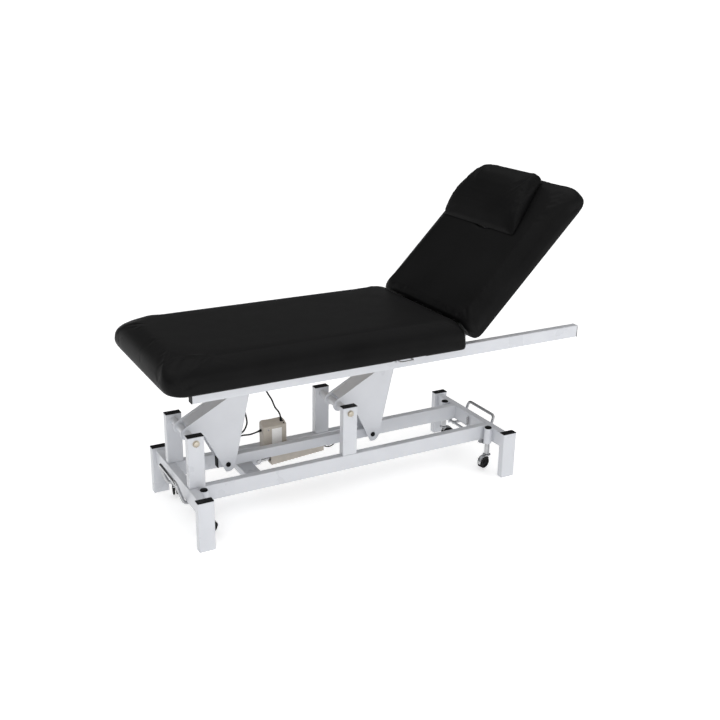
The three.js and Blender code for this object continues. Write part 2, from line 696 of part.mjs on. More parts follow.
// The smooth hull of eight balls, four at the neck edge and four at the crown
function pillow() {
  const { rounding, neck, crown } = PILLOW;
  const base = BACKREST.face + GAP + rounding;
  const corners = [neck, crown].flatMap(({ u, nearY, farY, thickness }) => (
    [nearY, farY].flatMap((y) => [[u, y, base], [u, y, base + Math.max(thickness - 2 * rounding, 0)]])
  ));
  const ball = new THREE.IcosahedronGeometry(rounding, 1).attributes.position;
  const points = corners.flatMap(([u, y, n]) => Array.from({ length: ball.count }, (_, i) => (
    new THREE.Vector3(u + ball.getX(i), y + ball.getY(i), n + ball.getZ(i))
  )));
  return toSolid(new ConvexGeometry(points));
}

const padding = backrestUpholstery();
add("backrest_cover", padding.cover, BLACK_VINYL, backrest);
add("backrest_foam", padding.foam, FOAM, backrest);
add("backrest_board", padding.board, PLYWOOD, backrest);
add("backrest_frame", backrestFrame(), WHITE_PAINT, backrest);
add("head_pillow", pillow(), BLACK_VINYL, backrest);

// ---------- gas spring ----------

const gasHead = {
  x: HINGE.x + GAS_HEAD.u * Math.cos(BACKREST_ANGLE) - GAS_HEAD.n * Math.sin(BACKREST_ANGLE),
  z: HINGE.z + GAS_HEAD.u * Math.sin(BACKREST_ANGLE) + GAS_HEAD.n * Math.cos(BACKREST_ANGLE),
};
const gasSlope = Math.atan2(gasHead.z - GAS_FOOT.z, gasHead.x - GAS_FOOT.x);

function gasCylinder() {
  const { length, radius, boreRadius } = GAS_CYLINDER;
  const metal = join(
    cylinder("y", 8, -9, 9, 0, 0),
    cylinder("x", 6, 4, 14, 0, 0),
    cylinder("x", radius, 12, length, 0, 0),
  );
  const bore = cylinder("x", boreRadius, 22, length + 1, 0, 0);
  return cut(metal, bore, cylinder("y", GAS_PIN_RADIUS + GAP, -10, 10, 0, 0));
}

// Drawn back from its eye, along -X
function gasRod() {
  const metal = join(
    cylinder("y", 8, -9, 9, 0, 0),
    cylinder("x", GAS_ROD.radius, -GAS_ROD.length, -4, 0, 0),
  );
  return cut(metal, cylinder("y", GAS_PIN_RADIUS + GAP, -10, 10, 0, 0));
}

const gasFootLine = new THREE.Group();
gasFootLine.position.set(GAS_FOOT.x, 0, GAS_FOOT.z);
gasFootLine.rotation.y = -(gasSlope + GAS_CYLINDER_TILT);
couch.add(gasFootLine);
const gasHeadLine = new THREE.Group();
gasHeadLine.position.set(gasHead.x, 0, gasHead.z);
gasHeadLine.rotation.y = -(gasSlope + GAS_ROD_TILT);
couch.add(gasHeadLine);
add("gas_spring_cylinder", gasCylinder(), BLACK_RUBBER, gasFootLine);
add("gas_spring_rod", gasRod(), CHROME, gasHeadLine);

// ---------- casters and pedals ----------

// Each caster is drawn about its own swivel axis, trailing towards -X
function casterStem() {
  return cylinder("z", STEM.radius, STEM.bottom, STEM.top, 0, 0);
}

// Part of a ring about the axle, seen from the side
function ringSector(fromDegrees, toDegrees) {
  const [from, to] = [fromDegrees, toDegrees].map((degrees) => THREE.MathUtils.degToRad(degrees));
  const sector = new THREE.Shape();
  sector.absarc(-WHEEL.trail, WHEEL.centreZ, HOOD.outer, from, to, false);
  sector.absarc(-WHEEL.trail, WHEEL.centreZ, HOOD.inner, to, from, true);
  return sector;
}

// A hooded fork: one middle web between the two wheels, a hood over them and a bearing plate on top
function casterFork() {
  const { trail, centreZ, innerY, axleRadius } = WHEEL;
  const webHalf = innerY - 0.4;
  const web = polygon([[-trail - 9, centreZ], [-trail + 9, centreZ], [8, 62], [-trail - 8, 62]]);
  const metal = join(
    cylinder("z", 15, 61.8, STEM.bottom - GAP, 0, 0),
    cylinder("z", 8, 58, 62, 0, 0),
    sidePlate(web, -webHalf, webHalf),
    cylinder("y", 9, -webHalf, webHalf, -trail, centreZ),
    sidePlate(ringSector(35, 150), -HOOD.halfWidth, HOOD.halfWidth),
    sidePlate(ringSector(149, 195), -5.5, 5.5),
  );
  return cut(metal, pinBore(axleRadius, { x: -trail, z: centreZ }, -innerY, innerY));
}

// Twin wheels on one axle
function casterWheel() {
  const { radius, innerY, outerY, axleRadius, centreZ, trail } = WHEEL;
  const half = [
    [axleRadius, innerY], [radius, innerY], [radius, outerY - 3], [radius - 3, outerY], [0, outerY],
  ].map(([r, y]) => new THREE.Vector2(r, y));
  const otherHalf = half.map(({ x, y }) => new THREE.Vector2(x, -y)).reverse();
  const wheels = new THREE.LatheGeometry([...otherHalf, ...half], 24);
  wheels.translate(-trail, 0, centreZ);
  return toSolid(wheels);
}

for (const end of ["foot", "head"]) {
  for (const [sideName, side] of SIDES) {
    const caster = new THREE.Group();
    caster.position.set(CASTER_X[end], side * CASTER_Y, 0);
    caster.rotation.z = THREE.MathUtils.degToRad(CASTER_TURN[end][sideName]);
    couch.add(caster);
    add(`caster_stem_${end}_${sideName}`, casterStem(), CHROME, caster);
    add(`caster_fork_${end}_${sideName}`, casterFork(), CHROME, caster);
    add(`caster_wheel_${end}_${sideName}`, casterWheel(), BLACK_RUBBER, caster);
  }
}

// The pedal is one welding: U-bar, cross shaft and two short levers
function pedal(shaftX, outward) {
  const { z, radius, halfLength } = PEDAL_SHAFT;
  const { reach, rise, halfWidth: bar, radius: rod } = PEDAL_BAR;
  const elbow = shaftX + outward * (reach - 28);
  const tip = shaftX + outward * reach;
  const loop = bentRod([
    [shaftX, -bar, z], [elbow, -bar, z], [tip, -bar, z + rise],
    [tip, bar, z + rise], [elbow, bar, z], [shaftX, bar, z],
  ], 14, rod, 36);
  const shaft = cylinder("y", radius, -halfLength, halfLength, shaftX, z);
  const leverOutline = polygon([
    [9, -7], [9, 7], [-32, 14], [-32, 5], [0, -9],
  ].map(([along, up]) => [shaftX + outward * along, z + up]));
  const levers = [-1, 1].map((side) => {
    const [y0, y1] = [side * (halfLength - 3.5), side * halfLength].sort((a, b) => a - b);
    return sidePlate(leverOutline, y0, y1);
  });
  return join(loop, shaft, ...levers);
}

add("pedal_foot", pedal(PEDAL_SHAFT.footX, -1), CHROME);
add("pedal_head", pedal(PEDAL_SHAFT.headX, 1), CHROME);
for (const [end, inward] of [["foot", 1], ["head", -1]]) {
  const x = END_FRAME_X[end] + inward * (BEAM_WIDTH / 2 + 6);
  add(`pedal_spring_${end}`, cylinder("z", 4.5, 126, 172, x, 0), CHROME);
}

// ---------- control box and leads ----------

// The box has a top that slopes down to the front, with three sockets at its right end
function controlBox() {
  const { left, right, bottom, top, front, back, frontTop } = CONTROL_BOX;
  const outline = new THREE.Shape();
  outline.moveTo(left + 4, bottom);
  outline.lineTo(right - 4, bottom);
  outline.lineTo(right, bottom + 4);
  outline.lineTo(right, top - 14);
  outline.quadraticCurveTo(right, top, right - 14, top);
  outline.lineTo(left + 14, top);
  outline.quadraticCurveTo(left, top, left, top - 14);
  outline.lineTo(left, bottom + 4);
  const flange = box(left + 12, right - 12, back - 4, back, bottom - 32, bottom + 2);
  const aboveSlope = new THREE.BoxGeometry(right - left + 20, 90, 40);
  aboveSlope.translate(0, 45 - 10, 20);
  aboveSlope.rotateX(Math.atan2(top - frontTop, back - front));
  aboveSlope.translate((left + right) / 2, front, frontTop);
  const sockets = [8, 18, 28].map((depth) => (
    cylinder("z", 3, frontTop - 8, top + 1, right - 9, front + depth, 12)
  ));
  return cut(join(sidePlate(outline, front, back), flange), toSolid(aboveSlope), ...sockets);
}

function lead(points, radius) {
  const path = new THREE.CatmullRomCurve3(points.map(([x, y, z]) => new THREE.Vector3(x, y, z)));
  return extrudedAlong(path, radius, 3 * points.length, 8);
}

add("control_box", controlBox(), GREY_PLASTIC);
add("handset_lead", lead(HANDSET_LEAD, LEAD_RADIUS), BLACK_RUBBER);
add("looped_lead", lead(LOOPED_LEAD, LEAD_RADIUS), BLACK_RUBBER);
add("actuator_lead", lead(ACTUATOR_LEAD, ACTUATOR_LEAD_RADIUS), BLACK_RUBBER);

export default couch;
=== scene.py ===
"""Looks of an examination couch: soft upholstery, powder-coated tube, chrome casters and plastic trim."""
import json
import math

import bmesh
import bpy
import numpy as np
from mathutils import Matrix, Vector


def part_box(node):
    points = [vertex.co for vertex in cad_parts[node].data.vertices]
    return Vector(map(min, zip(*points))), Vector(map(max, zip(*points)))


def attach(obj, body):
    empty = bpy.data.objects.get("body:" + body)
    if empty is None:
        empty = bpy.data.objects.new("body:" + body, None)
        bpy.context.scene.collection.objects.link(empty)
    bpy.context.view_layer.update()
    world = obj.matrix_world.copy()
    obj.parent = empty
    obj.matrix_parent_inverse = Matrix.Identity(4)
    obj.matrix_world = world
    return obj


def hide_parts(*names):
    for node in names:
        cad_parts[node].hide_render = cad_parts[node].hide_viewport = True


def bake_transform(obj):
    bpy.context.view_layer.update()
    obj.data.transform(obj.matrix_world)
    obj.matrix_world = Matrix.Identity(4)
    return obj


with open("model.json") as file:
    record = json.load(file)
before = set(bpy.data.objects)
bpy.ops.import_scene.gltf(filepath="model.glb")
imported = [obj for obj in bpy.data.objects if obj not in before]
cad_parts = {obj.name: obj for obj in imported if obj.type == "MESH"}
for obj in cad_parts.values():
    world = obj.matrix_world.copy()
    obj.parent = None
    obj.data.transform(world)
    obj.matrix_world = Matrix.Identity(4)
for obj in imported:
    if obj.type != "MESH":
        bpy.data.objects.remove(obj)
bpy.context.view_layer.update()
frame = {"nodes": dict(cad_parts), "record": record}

# Driving dimensions, in metres
TUBE_EDGE = 0.0028
CAP_THICKNESS = 0.0025
LEG = {"length": 0.060, "width": 0.030}
TIE_BAR_TUBE = {"low": 0.179, "high": 0.219, "far": 0.015}
TOP_RAIL_OUTER_FACE = -0.267
HOUSING_TOP = 0.180
POST_OUTER_FACE = 0.1333
HINGE_PLATE_MIDDLE = 0.2165
COUCH_HALF_WIDTH = 0.320
COVER_INSET = 0.002  # the upholstery stands this far inside the couch's width before it swells
# Cushion plans. Corner radii and their growth with height go high far, low far, low near, high near.
# Rolls are shares of the edge at the low end, high end, near side and far side.
# The lip is the folded cover that hangs below the board.
SEAT_PLAN = {
    "corners": (0.018, 0.050, 0.062, 0.020), "growth": (0.7, 1.7, 1.7, 0.8),
    "rolls": (1.25, 0.5, 1.15, 0.55), "edge": 0.050, "rise": 0.060, "lip": 0.0032,
}
BACKREST_PLAN = {
    "corners": (0.062, 0.016, 0.030, 0.066), "growth": (0.9, 0.4, 0.5, 1.2),
    "rolls": (0.55, 0.85, 1.10, 0.60), "edge": 0.048, "rise": 0.056, "lip": 0.0003,
}
CROWN = {"seat": 0.004, "backrest": 0.002}
BACKREST_LENGTH = (0.020, 0.712)
BACKREST_BACK = -0.0355
BACKREST_FACE = 0.054
FACE_HOLE = {"u": 0.513, "length": 0.170, "width": 0.130, "corner": 0.055}
BOARD_INSET = 0.026
CUSHION_VOXEL = 0.006
PILLOW_VOXEL = 0.005
SWELL_FRAMES = 20

RECORD = frame["record"]
JOINTS = {joint["name"]: joint for joint in RECORD["behaviour"]["joints"]}
BODY_OF = {
    node: body
    for body, nodes in RECORD["behaviour"]["bodies"].items()
    for node in nodes
}
ENDS = ("foot", "head")
SIDES = (("near", -1), ("far", 1))


# ---------- camera ----------

def add_camera():
    """A normal lens at the height of a standing person, looking at the couch from its foot end."""
    place = Vector((-1.7289, -3.1341, 1.7816))
    yaw, pitch, roll = (math.radians(v) for v in (29.091, 19.607, -0.992))
    forward = Vector((math.sin(yaw) * math.cos(pitch), math.cos(yaw) * math.cos(pitch), -math.sin(pitch)))
    level = Vector((math.cos(yaw), -math.sin(yaw), 0))
    down = forward.cross(level)
    right = math.cos(roll) * level + math.sin(roll) * down
    lower = -math.sin(roll) * level + math.cos(roll) * down
    data = bpy.data.cameras.new("camera")
    data.lens = 49.24
    data.sensor_width = 36
    camera = bpy.data.objects.new("camera", data)
    camera.matrix_world = Matrix.Translation(place) @ Matrix((right, -lower, -forward)).transposed().to_4x4()
    bpy.context.scene.collection.objects.link(camera)
    bpy.context.scene.camera = camera


# ---------- materials ----------

def new_material(name, color, roughness, metallic=0.0):
    material = bpy.data.materials.new(name)
    material.use_nodes = True
    shader = material.node_tree.nodes["Principled BSDF"]
    shader.inputs["Base Color"].default_value = (*color, 1)
    shader.inputs["Roughness"].default_value = roughness
    shader.inputs["Metallic"].default_value = metallic
    return material, material.node_tree, shader


def texture(tree, kind, **settings):
    node = tree.nodes.new(kind)
    coordinates = tree.nodes.get("coordinates") or tree.nodes.new("ShaderNodeTexCoord")
    coordinates.name = "coordinates"
    tree.links.new(coordinates.outputs["Object"], node.inputs["Vector"])
    for key, value in settings.items():
        node.inputs[key].default_value = value
    return node


def spread(tree, source, low, high):
    """Maps a texture value onto a narrow range."""
    node = tree.nodes.new("ShaderNodeMapRange")
    node.inputs["From Min"].default_value = 0.3
    node.inputs["From Max"].default_value = 0.7
    node.inputs["To Min"].default_value = low
    node.inputs["To Max"].default_value = high
    tree.links.new(source, node.inputs["Value"])
    return node.outputs["Result"]


def tint(tree, shader, source, dark, light):
    ramp = tree.nodes.new("ShaderNodeValToRGB")
    ramp.color_ramp.elements[0].position = 0.3
    ramp.color_ramp.elements[1].position = 0.7
    ramp.color_ramp.elements[0].color = (*dark, 1)
    ramp.color_ramp.elements[1].color = (*light, 1)
    tree.links.new(source, ramp.inputs["Fac"])
    tree.links.new(ramp.outputs["Color"], shader.inputs["Base Color"])


def bump(tree, shader, height, distance, strength=1.0):
    node = tree.nodes.new("ShaderNodeBump")
    node.inputs["Distance"].default_value = distance
    node.inputs["Strength"].default_value = strength
    tree.links.new(height, node.inputs["Height"])
    previous = shader.inputs["Normal"].links
    if previous:
        tree.links.new(previous[0].from_socket, node.inputs["Normal"])
    tree.links.new(node.outputs["Normal"], shader.inputs["Normal"])


def powder_coat():
    material, tree, shader = new_material("white_powder_coat", (0.78, 0.80, 0.84), 0.3)
    cloudy = texture(tree, "ShaderNodeTexNoise", Scale=9, Detail=4)
    tint(tree, shader, cloudy.outputs["Fac"], (0.595, 0.61, 0.645), (0.635, 0.65, 0.685))
    peel = texture(tree, "ShaderNodeTexNoise", Scale=420, Detail=2)
    bump(tree, shader, peel.outputs["Fac"], 0.00012, 0.35)
    tree.links.new(spread(tree, cloudy.outputs["Fac"], 0.26, 0.36), shader.inputs["Roughness"])
    shader.inputs["Coat Weight"].default_value = 0.25
    shader.inputs["Coat Roughness"].default_value = 0.18
    return material


def vinyl():
    """Soft upholstery vinyl: a pebbled leather grain with finer pores, satin."""
    material, tree, shader = new_material("black_vinyl", (0.0068, 0.0068, 0.0070), 0.42)
    cloudy = texture(tree, "ShaderNodeTexNoise", Scale=5, Detail=5)
    tint(tree, shader, cloudy.outputs["Fac"], (0.0040, 0.0040, 0.0041), (0.0068, 0.0068, 0.0070))
    pebbles = texture(tree, "ShaderNodeTexVoronoi", Scale=620)
    bump(tree, shader, pebbles.outputs["Distance"], 0.00025, 0.35)
    creases = texture(tree, "ShaderNodeTexNoise", Scale=150, Detail=6, Distortion=0.6)
    bump(tree, shader, creases.outputs["Fac"], 0.0003, 0.25)
    tree.links.new(spread(tree, cloudy.outputs["Fac"], 0.44, 0.54), shader.inputs["Roughness"])
    shader.inputs["Specular IOR Level"].default_value = 0.4
    shader.inputs["IOR"].default_value = 1.2
    return material


def chrome():
    material, tree, shader = new_material("chrome", (0.46, 0.465, 0.475), 0.16, 1)
    smears = texture(tree, "ShaderNodeTexNoise", Scale=60, Detail=3)
    tint(tree, shader, smears.outputs["Fac"], (0.40, 0.405, 0.415), (0.50, 0.505, 0.515))
    tree.links.new(spread(tree, smears.outputs["Fac"], 0.10, 0.22), shader.inputs["Roughness"])
    return material


def yellow_zinc():
    material, tree, shader = new_material("yellow_zinc", (0.50, 0.46, 0.38), 0.3, 1)
    stains = texture(tree, "ShaderNodeTexNoise", Scale=130, Detail=4)
    tint(tree, shader, stains.outputs["Fac"], (0.38, 0.34, 0.28), (0.56, 0.52, 0.44))
    tree.links.new(spread(tree, stains.outputs["Fac"], 0.22, 0.4), shader.inputs["Roughness"])
    return material


def moulded(name, dark, light, roughness, grain=900, specular=0.2):
    """Moulded plastic or rubber with a fine spark-eroded grain."""
    material, tree, shader = new_material(name, light, roughness)
    cloudy = texture(tree, "ShaderNodeTexNoise", Scale=30, Detail=3)
    tint(tree, shader, cloudy.outputs["Fac"], dark, light)
    speckle = texture(tree, "ShaderNodeTexNoise", Scale=grain, Detail=2)
    bump(tree, shader, speckle.outputs["Fac"], 0.0002, 0.3)
    rough = spread(tree, cloudy.outputs["Fac"], roughness - 0.06, roughness + 0.06)
    tree.links.new(rough, shader.inputs["Roughness"])
    shader.inputs["Specular IOR Level"].default_value = specular
    return material


def plywood():
    material, tree, shader = new_material("plywood", (0.46, 0.42, 0.37), 0.6)
    wave = texture(tree, "ShaderNodeTexWave", Scale=14, Distortion=5, Detail=3)
    tint(tree, shader, wave.outputs["Fac"], (0.40, 0.365, 0.32), (0.54, 0.50, 0.45))
    bump(tree, shader, wave.outputs["Fac"], 0.0003, 0.3)
    return material


def foam():
    material, tree, shader = new_material("foam", (0.62, 0.55, 0.30), 0.9)
    cells = texture(tree, "ShaderNodeTexVoronoi", Scale=700)
    tint(tree, shader, cells.outputs["Distance"], (0.50, 0.43, 0.22), (0.66, 0.60, 0.36))
    bump(tree, shader, cells.outputs["Distance"], 0.0006, 0.6)
    return material


def paper_label():
    material, tree, shader = new_material("paper_label", (0.80, 0.79, 0.77), 0.45)
    fibres = texture(tree, "ShaderNodeTexNoise", Scale=260, Detail=4)
    tint(tree, shader, fibres.outputs["Fac"], (0.84, 0.83, 0.82), (0.90, 0.90, 0.89))
    return material


MATERIALS = {
    "white_frame": powder_coat(),
    "black_vinyl": vinyl(),
    "foam": foam(),
    "plywood": plywood(),
    "chrome": chrome(),
    "yellow_zinc": yellow_zinc(),
    "black_steel": moulded("black_steel", (0.010, 0.010, 0.011), (0.016, 0.016, 0.017), 0.3),
    "grey_plastic": moulded("grey_plastic", (0.46, 0.42, 0.37), (0.53, 0.485, 0.43), 0.45, specular=0.4),
    "black_rubber": moulded("black_rubber", (0.005, 0.005, 0.005), (0.010, 0.010, 0.010), 0.55, 500, 0.12),
    "black_plastic": moulded("black_plastic", (0.003, 0.003, 0.0035), (0.006, 0.006, 0.0065), 0.4,
                             specular=0.08),
    "paper_label": paper_label(),
}


# ---------- mesh helpers ----------

def new_piece(name, bm, material, body, smooth_angle=35):
    """A mesh object with smooth faces, sharp where its faces meet at more than smooth_angle."""
    bm.normal_update()
    limit = math.radians(smooth_angle)
    for face in bm.faces:
        face.smooth = True
    for edge in bm.edges:
        edge.smooth = len(edge.link_faces) == 2 and edge.calc_face_angle(0) < limit
    mesh = bpy.data.meshes.new(name)
    bm.to_mesh(mesh)
    bm.free()
    piece = bpy.data.objects.new(name, mesh)
    bpy.context.scene.collection.objects.link(piece)
    piece.data.materials.append(MATERIALS[material])
    if body:
        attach(piece, body)
    return piece


def weight_normals(piece):
    modifier = piece.modifiers.new("weighted_normals", "WEIGHTED_NORMAL")
    modifier.keep_sharp = True


def add_box(bm, low, high):
    size = [b - a for a, b in zip(low, high)]
    middle = [(a + b) / 2 for a, b in zip(low, high)]
    matrix = Matrix.Translation(middle) @ Matrix.Diagonal((*size, 1))
    return bmesh.ops.create_cube(bm, size=1, matrix=matrix)["verts"]


def bevel_edges(bm, edges, width, segments=3):
    bmesh.ops.bevel(bm, geom=list(edges), offset=width, segments=segments, profile=0.5,
                    affect="EDGES", clamp_overlap=True)


def rounded_box(name, low, high, radius, material, body, segments=3):
    bm = bmesh.new()
    add_box(bm, low, high)
    bevel_edges(bm, bm.edges, radius, segments)
    piece = new_piece(name, bm, material, body)
    weight_normals(piece)
    return piece


def lathe(bm, profile, axis, center, sides=40):
    """Turns a closed list of (radius, height) points about an axis through center."""
    turn = {"x": Matrix.Rotation(math.pi / 2, 4, "Y"), "y": Matrix.Rotation(-math.pi / 2, 4, "X"),
            "z": Matrix.Identity(4)}[axis]
    matrix = Matrix.Translation(center) @ turn
    rings = []
    for radius, height in profile:
        if radius < 1e-7:
            rings.append([bm.verts.new(matrix @ Vector((0, 0, height)))])
            continue
        ring = []
        for i in range(sides):
            angle = 2 * math.pi * i / sides
            point = Vector((radius * math.cos(angle), radius * math.sin(angle), height))
            ring.append(bm.verts.new(matrix @ point))
        rings.append(ring)
    for first, second in zip(rings, rings[1:]):
        for i in range(sides):
            j = (i + 1) % sides
            corners = [first[i % len(first)], first[j % len(first)]]
            corners += [second[j % len(second)], second[i % len(second)]]
            corners = list(dict.fromkeys(corners))
            if len(corners) > 2:
                bm.faces.new(corners)
    bmesh.ops.recalc_face_normals(bm, faces=bm.faces)


def lathe_piece(name, profile, axis, center, material, body, sides=40):
    bm = bmesh.new()
    lathe(bm, profile, axis, center, sides)
    return new_piece(name, bm, material, body)


def filleted(points, bend, steps=8):
    """The polyline with its corners rounded."""
    points = [Vector(p) for p in points]
    path = [points[0]]
    for before, corner, after in zip(points, points[1:], points[2:]):
        back = corner + (before - corner).normalized() * bend
        onward = corner + (after - corner).normalized() * bend
        for i in range(steps + 1):
            t = i / steps
            path.append(back * (1 - t) ** 2 + corner * 2 * t * (1 - t) + onward * t ** 2)
    path.append(points[-1])
    return path


def smooth_curve(points, per_span=8):
    """A Catmull-Rom curve through the points."""
    points = [Vector(p) for p in points]
    ends = [2 * points[0] - points[1]] + points + [2 * points[-1] - points[-2]]
    path = []
    for a, b, c, d in zip(ends, ends[1:], ends[2:], ends[3:]):
        for i in range(per_span):
            t = i / per_span
            path.append(0.5 * (2 * b + (c - a) * t + (2 * a - 5 * b + 4 * c - d) * t ** 2
                               + (3 * b - a - 3 * c + d) * t ** 3))
    path.append(points[-1])
    return path


def sweep(bm, path, radius, sides=16, closed=False):
    """A round rod along a path; radius is a number or a function of the place along it, 0 to 1."""
    count = len(path)
    frames = []
    normal = None
    for i, point in enumerate(path):
        ahead = path[(i + 1) % count] if closed or i < count - 1 else point
        behind = path[i - 1] if closed or i > 0 else point
        tangent = (ahead - behind).normalized()
        if normal is None:
            normal = tangent.orthogonal().normalized()
        normal = (normal - tangent * normal.dot(tangent)).normalized()
        frames.append((point, normal, tangent.cross(normal)))
    rings = []
    for i, (point, first, second) in enumerate(frames):
        size = radius(i / max(count - 1, 1)) if callable(radius) else radius
        ring = []
        for k in range(sides):
            angle = 2 * math.pi * k / sides
            ring.append(bm.verts.new(point + size * (math.cos(angle) * first + math.sin(angle) * second)))
        rings.append(ring)
    pairs = list(zip(rings, rings[1:])) + ([(rings[-1], rings[0])] if closed else [])
    for first, second in pairs:
        for k in range(sides):
            j = (k + 1) % sides
            bm.faces.new((first[k], first[j], second[j], second[k]))
    if not closed:
        bm.faces.new(list(reversed(rings[0])))
        bm.faces.new(rings[-1])


def rod(name, path, radius, material, body, sides=16, closed=False):
    bm = bmesh.new()
    sweep(bm, path, radius, sides, closed)
    bmesh.ops.recalc_face_normals(bm, faces=bm.faces)
    return new_piece(name, bm, material, body)


# ---------- steel frame ----------

def thin(face):
    """True for the narrow rim of a tube's cut end."""
    return face.calc_area() / max(edge.calc_length() for edge in face.edges) < 0.003


def refine(node, width=TUBE_EDGE, material="white_frame", shortest=0.012):
    """The CAD node again, with its long outer corners rolled as drawn steel tube has them."""
    source = frame["nodes"][node]
    bm = bmesh.new()
    bm.from_mesh(source.data)
    bm.transform(source.matrix_world)
    bmesh.ops.remove_doubles(bm, verts=bm.verts, dist=1e-5)
    bmesh.ops.dissolve_limit(bm, angle_limit=math.radians(1), verts=bm.verts, edges=bm.edges)
    bm.normal_update()
    sharp = [
        edge for edge in bm.edges
        if len(edge.link_faces) == 2 and edge.is_convex and edge.calc_face_angle(0) > math.radians(50)
        and edge.calc_length() > shortest and not any(thin(face) for face in edge.link_faces)
    ]
    bmesh.ops.bevel(bm, geom=sharp, offset=width, segments=3, profile=0.5, affect="EDGES",
                    clamp_overlap=False)
    piece = new_piece(f"{node}_finish", bm, material, BODY_OF[node])
    weight_normals(piece)
    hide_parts(node)
    return piece


def build_steel():
    for node in ("foot_end_frame", "head_end_frame", "lower_rail_near", "lower_rail_far",
                 "post_foot_near", "post_foot_far", "post_head_near", "post_head_far", "actuator_crossbar",
                 "top_rail_near", "top_rail_far", "foot_cross_tube", "tie_bar",
                 "lift_cross_tube_foot", "lift_cross_tube_head", "hinge_cross_tube", "backrest_frame"):
        refine(node)
    for node in ("lift_crank_foot", "lift_crank_head"):
        refine(node, 0.0012, shortest=0.004)


def end_cap(name, low, high, axis, outward, body):
    """A pressed-in plastic cap: a rim that covers the tube's end, with a shallow dished face."""
    low, high = Vector(low), Vector(high)
    k = "xyz".index(axis)
    face = high[k] if outward > 0 else low[k]
    low[k] = min(face, face + outward * CAP_THICKNESS)
    high[k] = max(face, face + outward * CAP_THICKNESS)
    bm = bmesh.new()
    add_box(bm, low, high)
    outer = max(bm.faces, key=lambda f: f.calc_center_median()[k] * outward)
    bmesh.ops.inset_individual(bm, faces=[outer], thickness=0.004, depth=0)
    bmesh.ops.inset_individual(bm, faces=[outer], thickness=0.0008, depth=-0.0008)
    bm.normal_update()
    edges = [e for e in bm.edges if e.calc_length() > 0.0015 and e.calc_face_angle(0) > math.radians(60)]
    bevel_edges(bm, edges, 0.0008, 2)
    piece = new_piece(name, bm, "black_plastic", body)
    weight_normals(piece)
    return piece


def build_caps():
    for end in ENDS:
        low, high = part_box(f"{end}_end_frame")
        half = Vector((LEG["length"] / 2, LEG["width"] / 2, 0))
        leg_x = {"foot": low[0] + half.x, "head": high[0] - half.x}[end]
        for side_name, side in SIDES:
            middle = Vector((leg_x, side * (high[1] - half.y), 0))
            bottom, top = middle - half, middle + half + Vector((0, 0, high[2]))
            end_cap(f"leg_cap_{end}_{side_name}", bottom, top, "z", 1, "base")
            sole_low = middle - half + Vector((0.001, 0.001, 0.0001))
            sole_high = middle + half + Vector((-0.001, -0.001, 0.004))
            rounded_box(f"leg_foot_{end}_{side_name}", sole_low, sole_high, 0.0012, "grey_plastic", "base")
            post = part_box(f"post_{end}_{side_name}")
            end_cap(f"post_cap_{end}_{side_name}", *post, "z", 1, "base")
            caster = JOINTS[f"fork_{end}_{side_name}_swivel"]["pos_m"]
            housing_cap(f"housing_cap_{end}_{side_name}", caster)
    for side_name, _ in SIDES:
        low, high = (Vector(corner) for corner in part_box(f"top_rail_{side_name}"))
        if side_name == "near":
            low.y = TOP_RAIL_OUTER_FACE
        for end, outward in (("foot", -1), ("head", 1)):
            end_cap(f"rail_cap_{end}_{side_name}", low, high, "x", outward, "top_frame")
    low, high = (Vector(corner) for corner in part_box("tie_bar"))
    low.z = TIE_BAR_TUBE["low"]
    high.z = TIE_BAR_TUBE["high"]
    high.y = TIE_BAR_TUBE["far"]
    for end, outward in (("foot", -1), ("head", 1)):
        end_cap(f"tie_bar_cap_{end}", low, high, "x", outward, "tie_bar")


def housing_cap(name, place):
    """A domed plug in the top of a caster housing."""
    top = HOUSING_TOP
    profile = [(0, top - 0.004), (0.0125, top - 0.004), (0.0138, top - 0.001), (0.0138, top + 0.003),
               (0.0125, top + 0.0045), (0.010, top + 0.0055), (0, top + 0.006)]
    lathe_piece(name, profile, "z", (place[0], place[1], 0), "black_plastic", "base")


# ---------- bolts and pins ----------

def bolt_head(bm, place, side, face_y, radius, height):
    """A hexagon head on a washer, standing on a face that looks along Y."""
    washer = [(0, 0), (radius * 1.12, 0), (radius * 1.12, 0.0014), (0, 0.0014)]
    lathe(bm, washer, "y", (0, 0, 0), 32)
    upright = Matrix.Translation((0, 0.0014 + height / 2, 0)) @ Matrix.Rotation(math.pi / 2, 4, "X")
    bmesh.ops.create_cone(bm, cap_ends=True, segments=6, radius1=radius, radius2=radius, depth=height,
                          matrix=upright)
    seat = Matrix.Translation((place[0], face_y, place[1])) @ Matrix.Diagonal((1, side, 1, 1))
    bmesh.ops.transform(bm, verts=bm.verts, matrix=seat)
    if side < 0:
        bmesh.ops.reverse_faces(bm, faces=bm.faces)


def build_bolts():
    for end in ENDS:
        joint = JOINTS["lift" if end == "foot" else "crank_head_turn"]
        place = (joint["pos_m"][0], joint["pos_m"][2])
        bm = bmesh.new()
        for _, side in SIDES:
            head = bmesh.new()
            bolt_head(head, place, side, side * POST_OUTER_FACE, 0.0115, 0.0062)
            mesh = bpy.data.meshes.new("head")
            head.to_mesh(mesh)
            head.free()
            bm.from_mesh(mesh)
        reach = POST_OUTER_FACE
        shank = [(0, -reach), (0.008, -reach), (0.008, reach), (0, reach)]
        lathe(bm, shank, "y", (place[0], 0, place[1]), 32)
        edges = [e for e in bm.edges if e.calc_face_angle(0) > math.radians(40)]
        bevel_edges(bm, edges, 0.0005, 2)
        piece = new_piece(f"pivot_bolt_{end}", bm, "yellow_zinc", "base")
        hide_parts(f"pivot_axle_{end}")
    for node in ("upper_pin_foot", "upper_pin_head", "lower_pin_foot", "lower_pin_head"):
        pin_with_caps(node)
    for node in ("actuator_rod_pin", "actuator_body_pin", "backrest_hinge_rod"):
        refine(node, 0.0006, "chrome", 0.001)


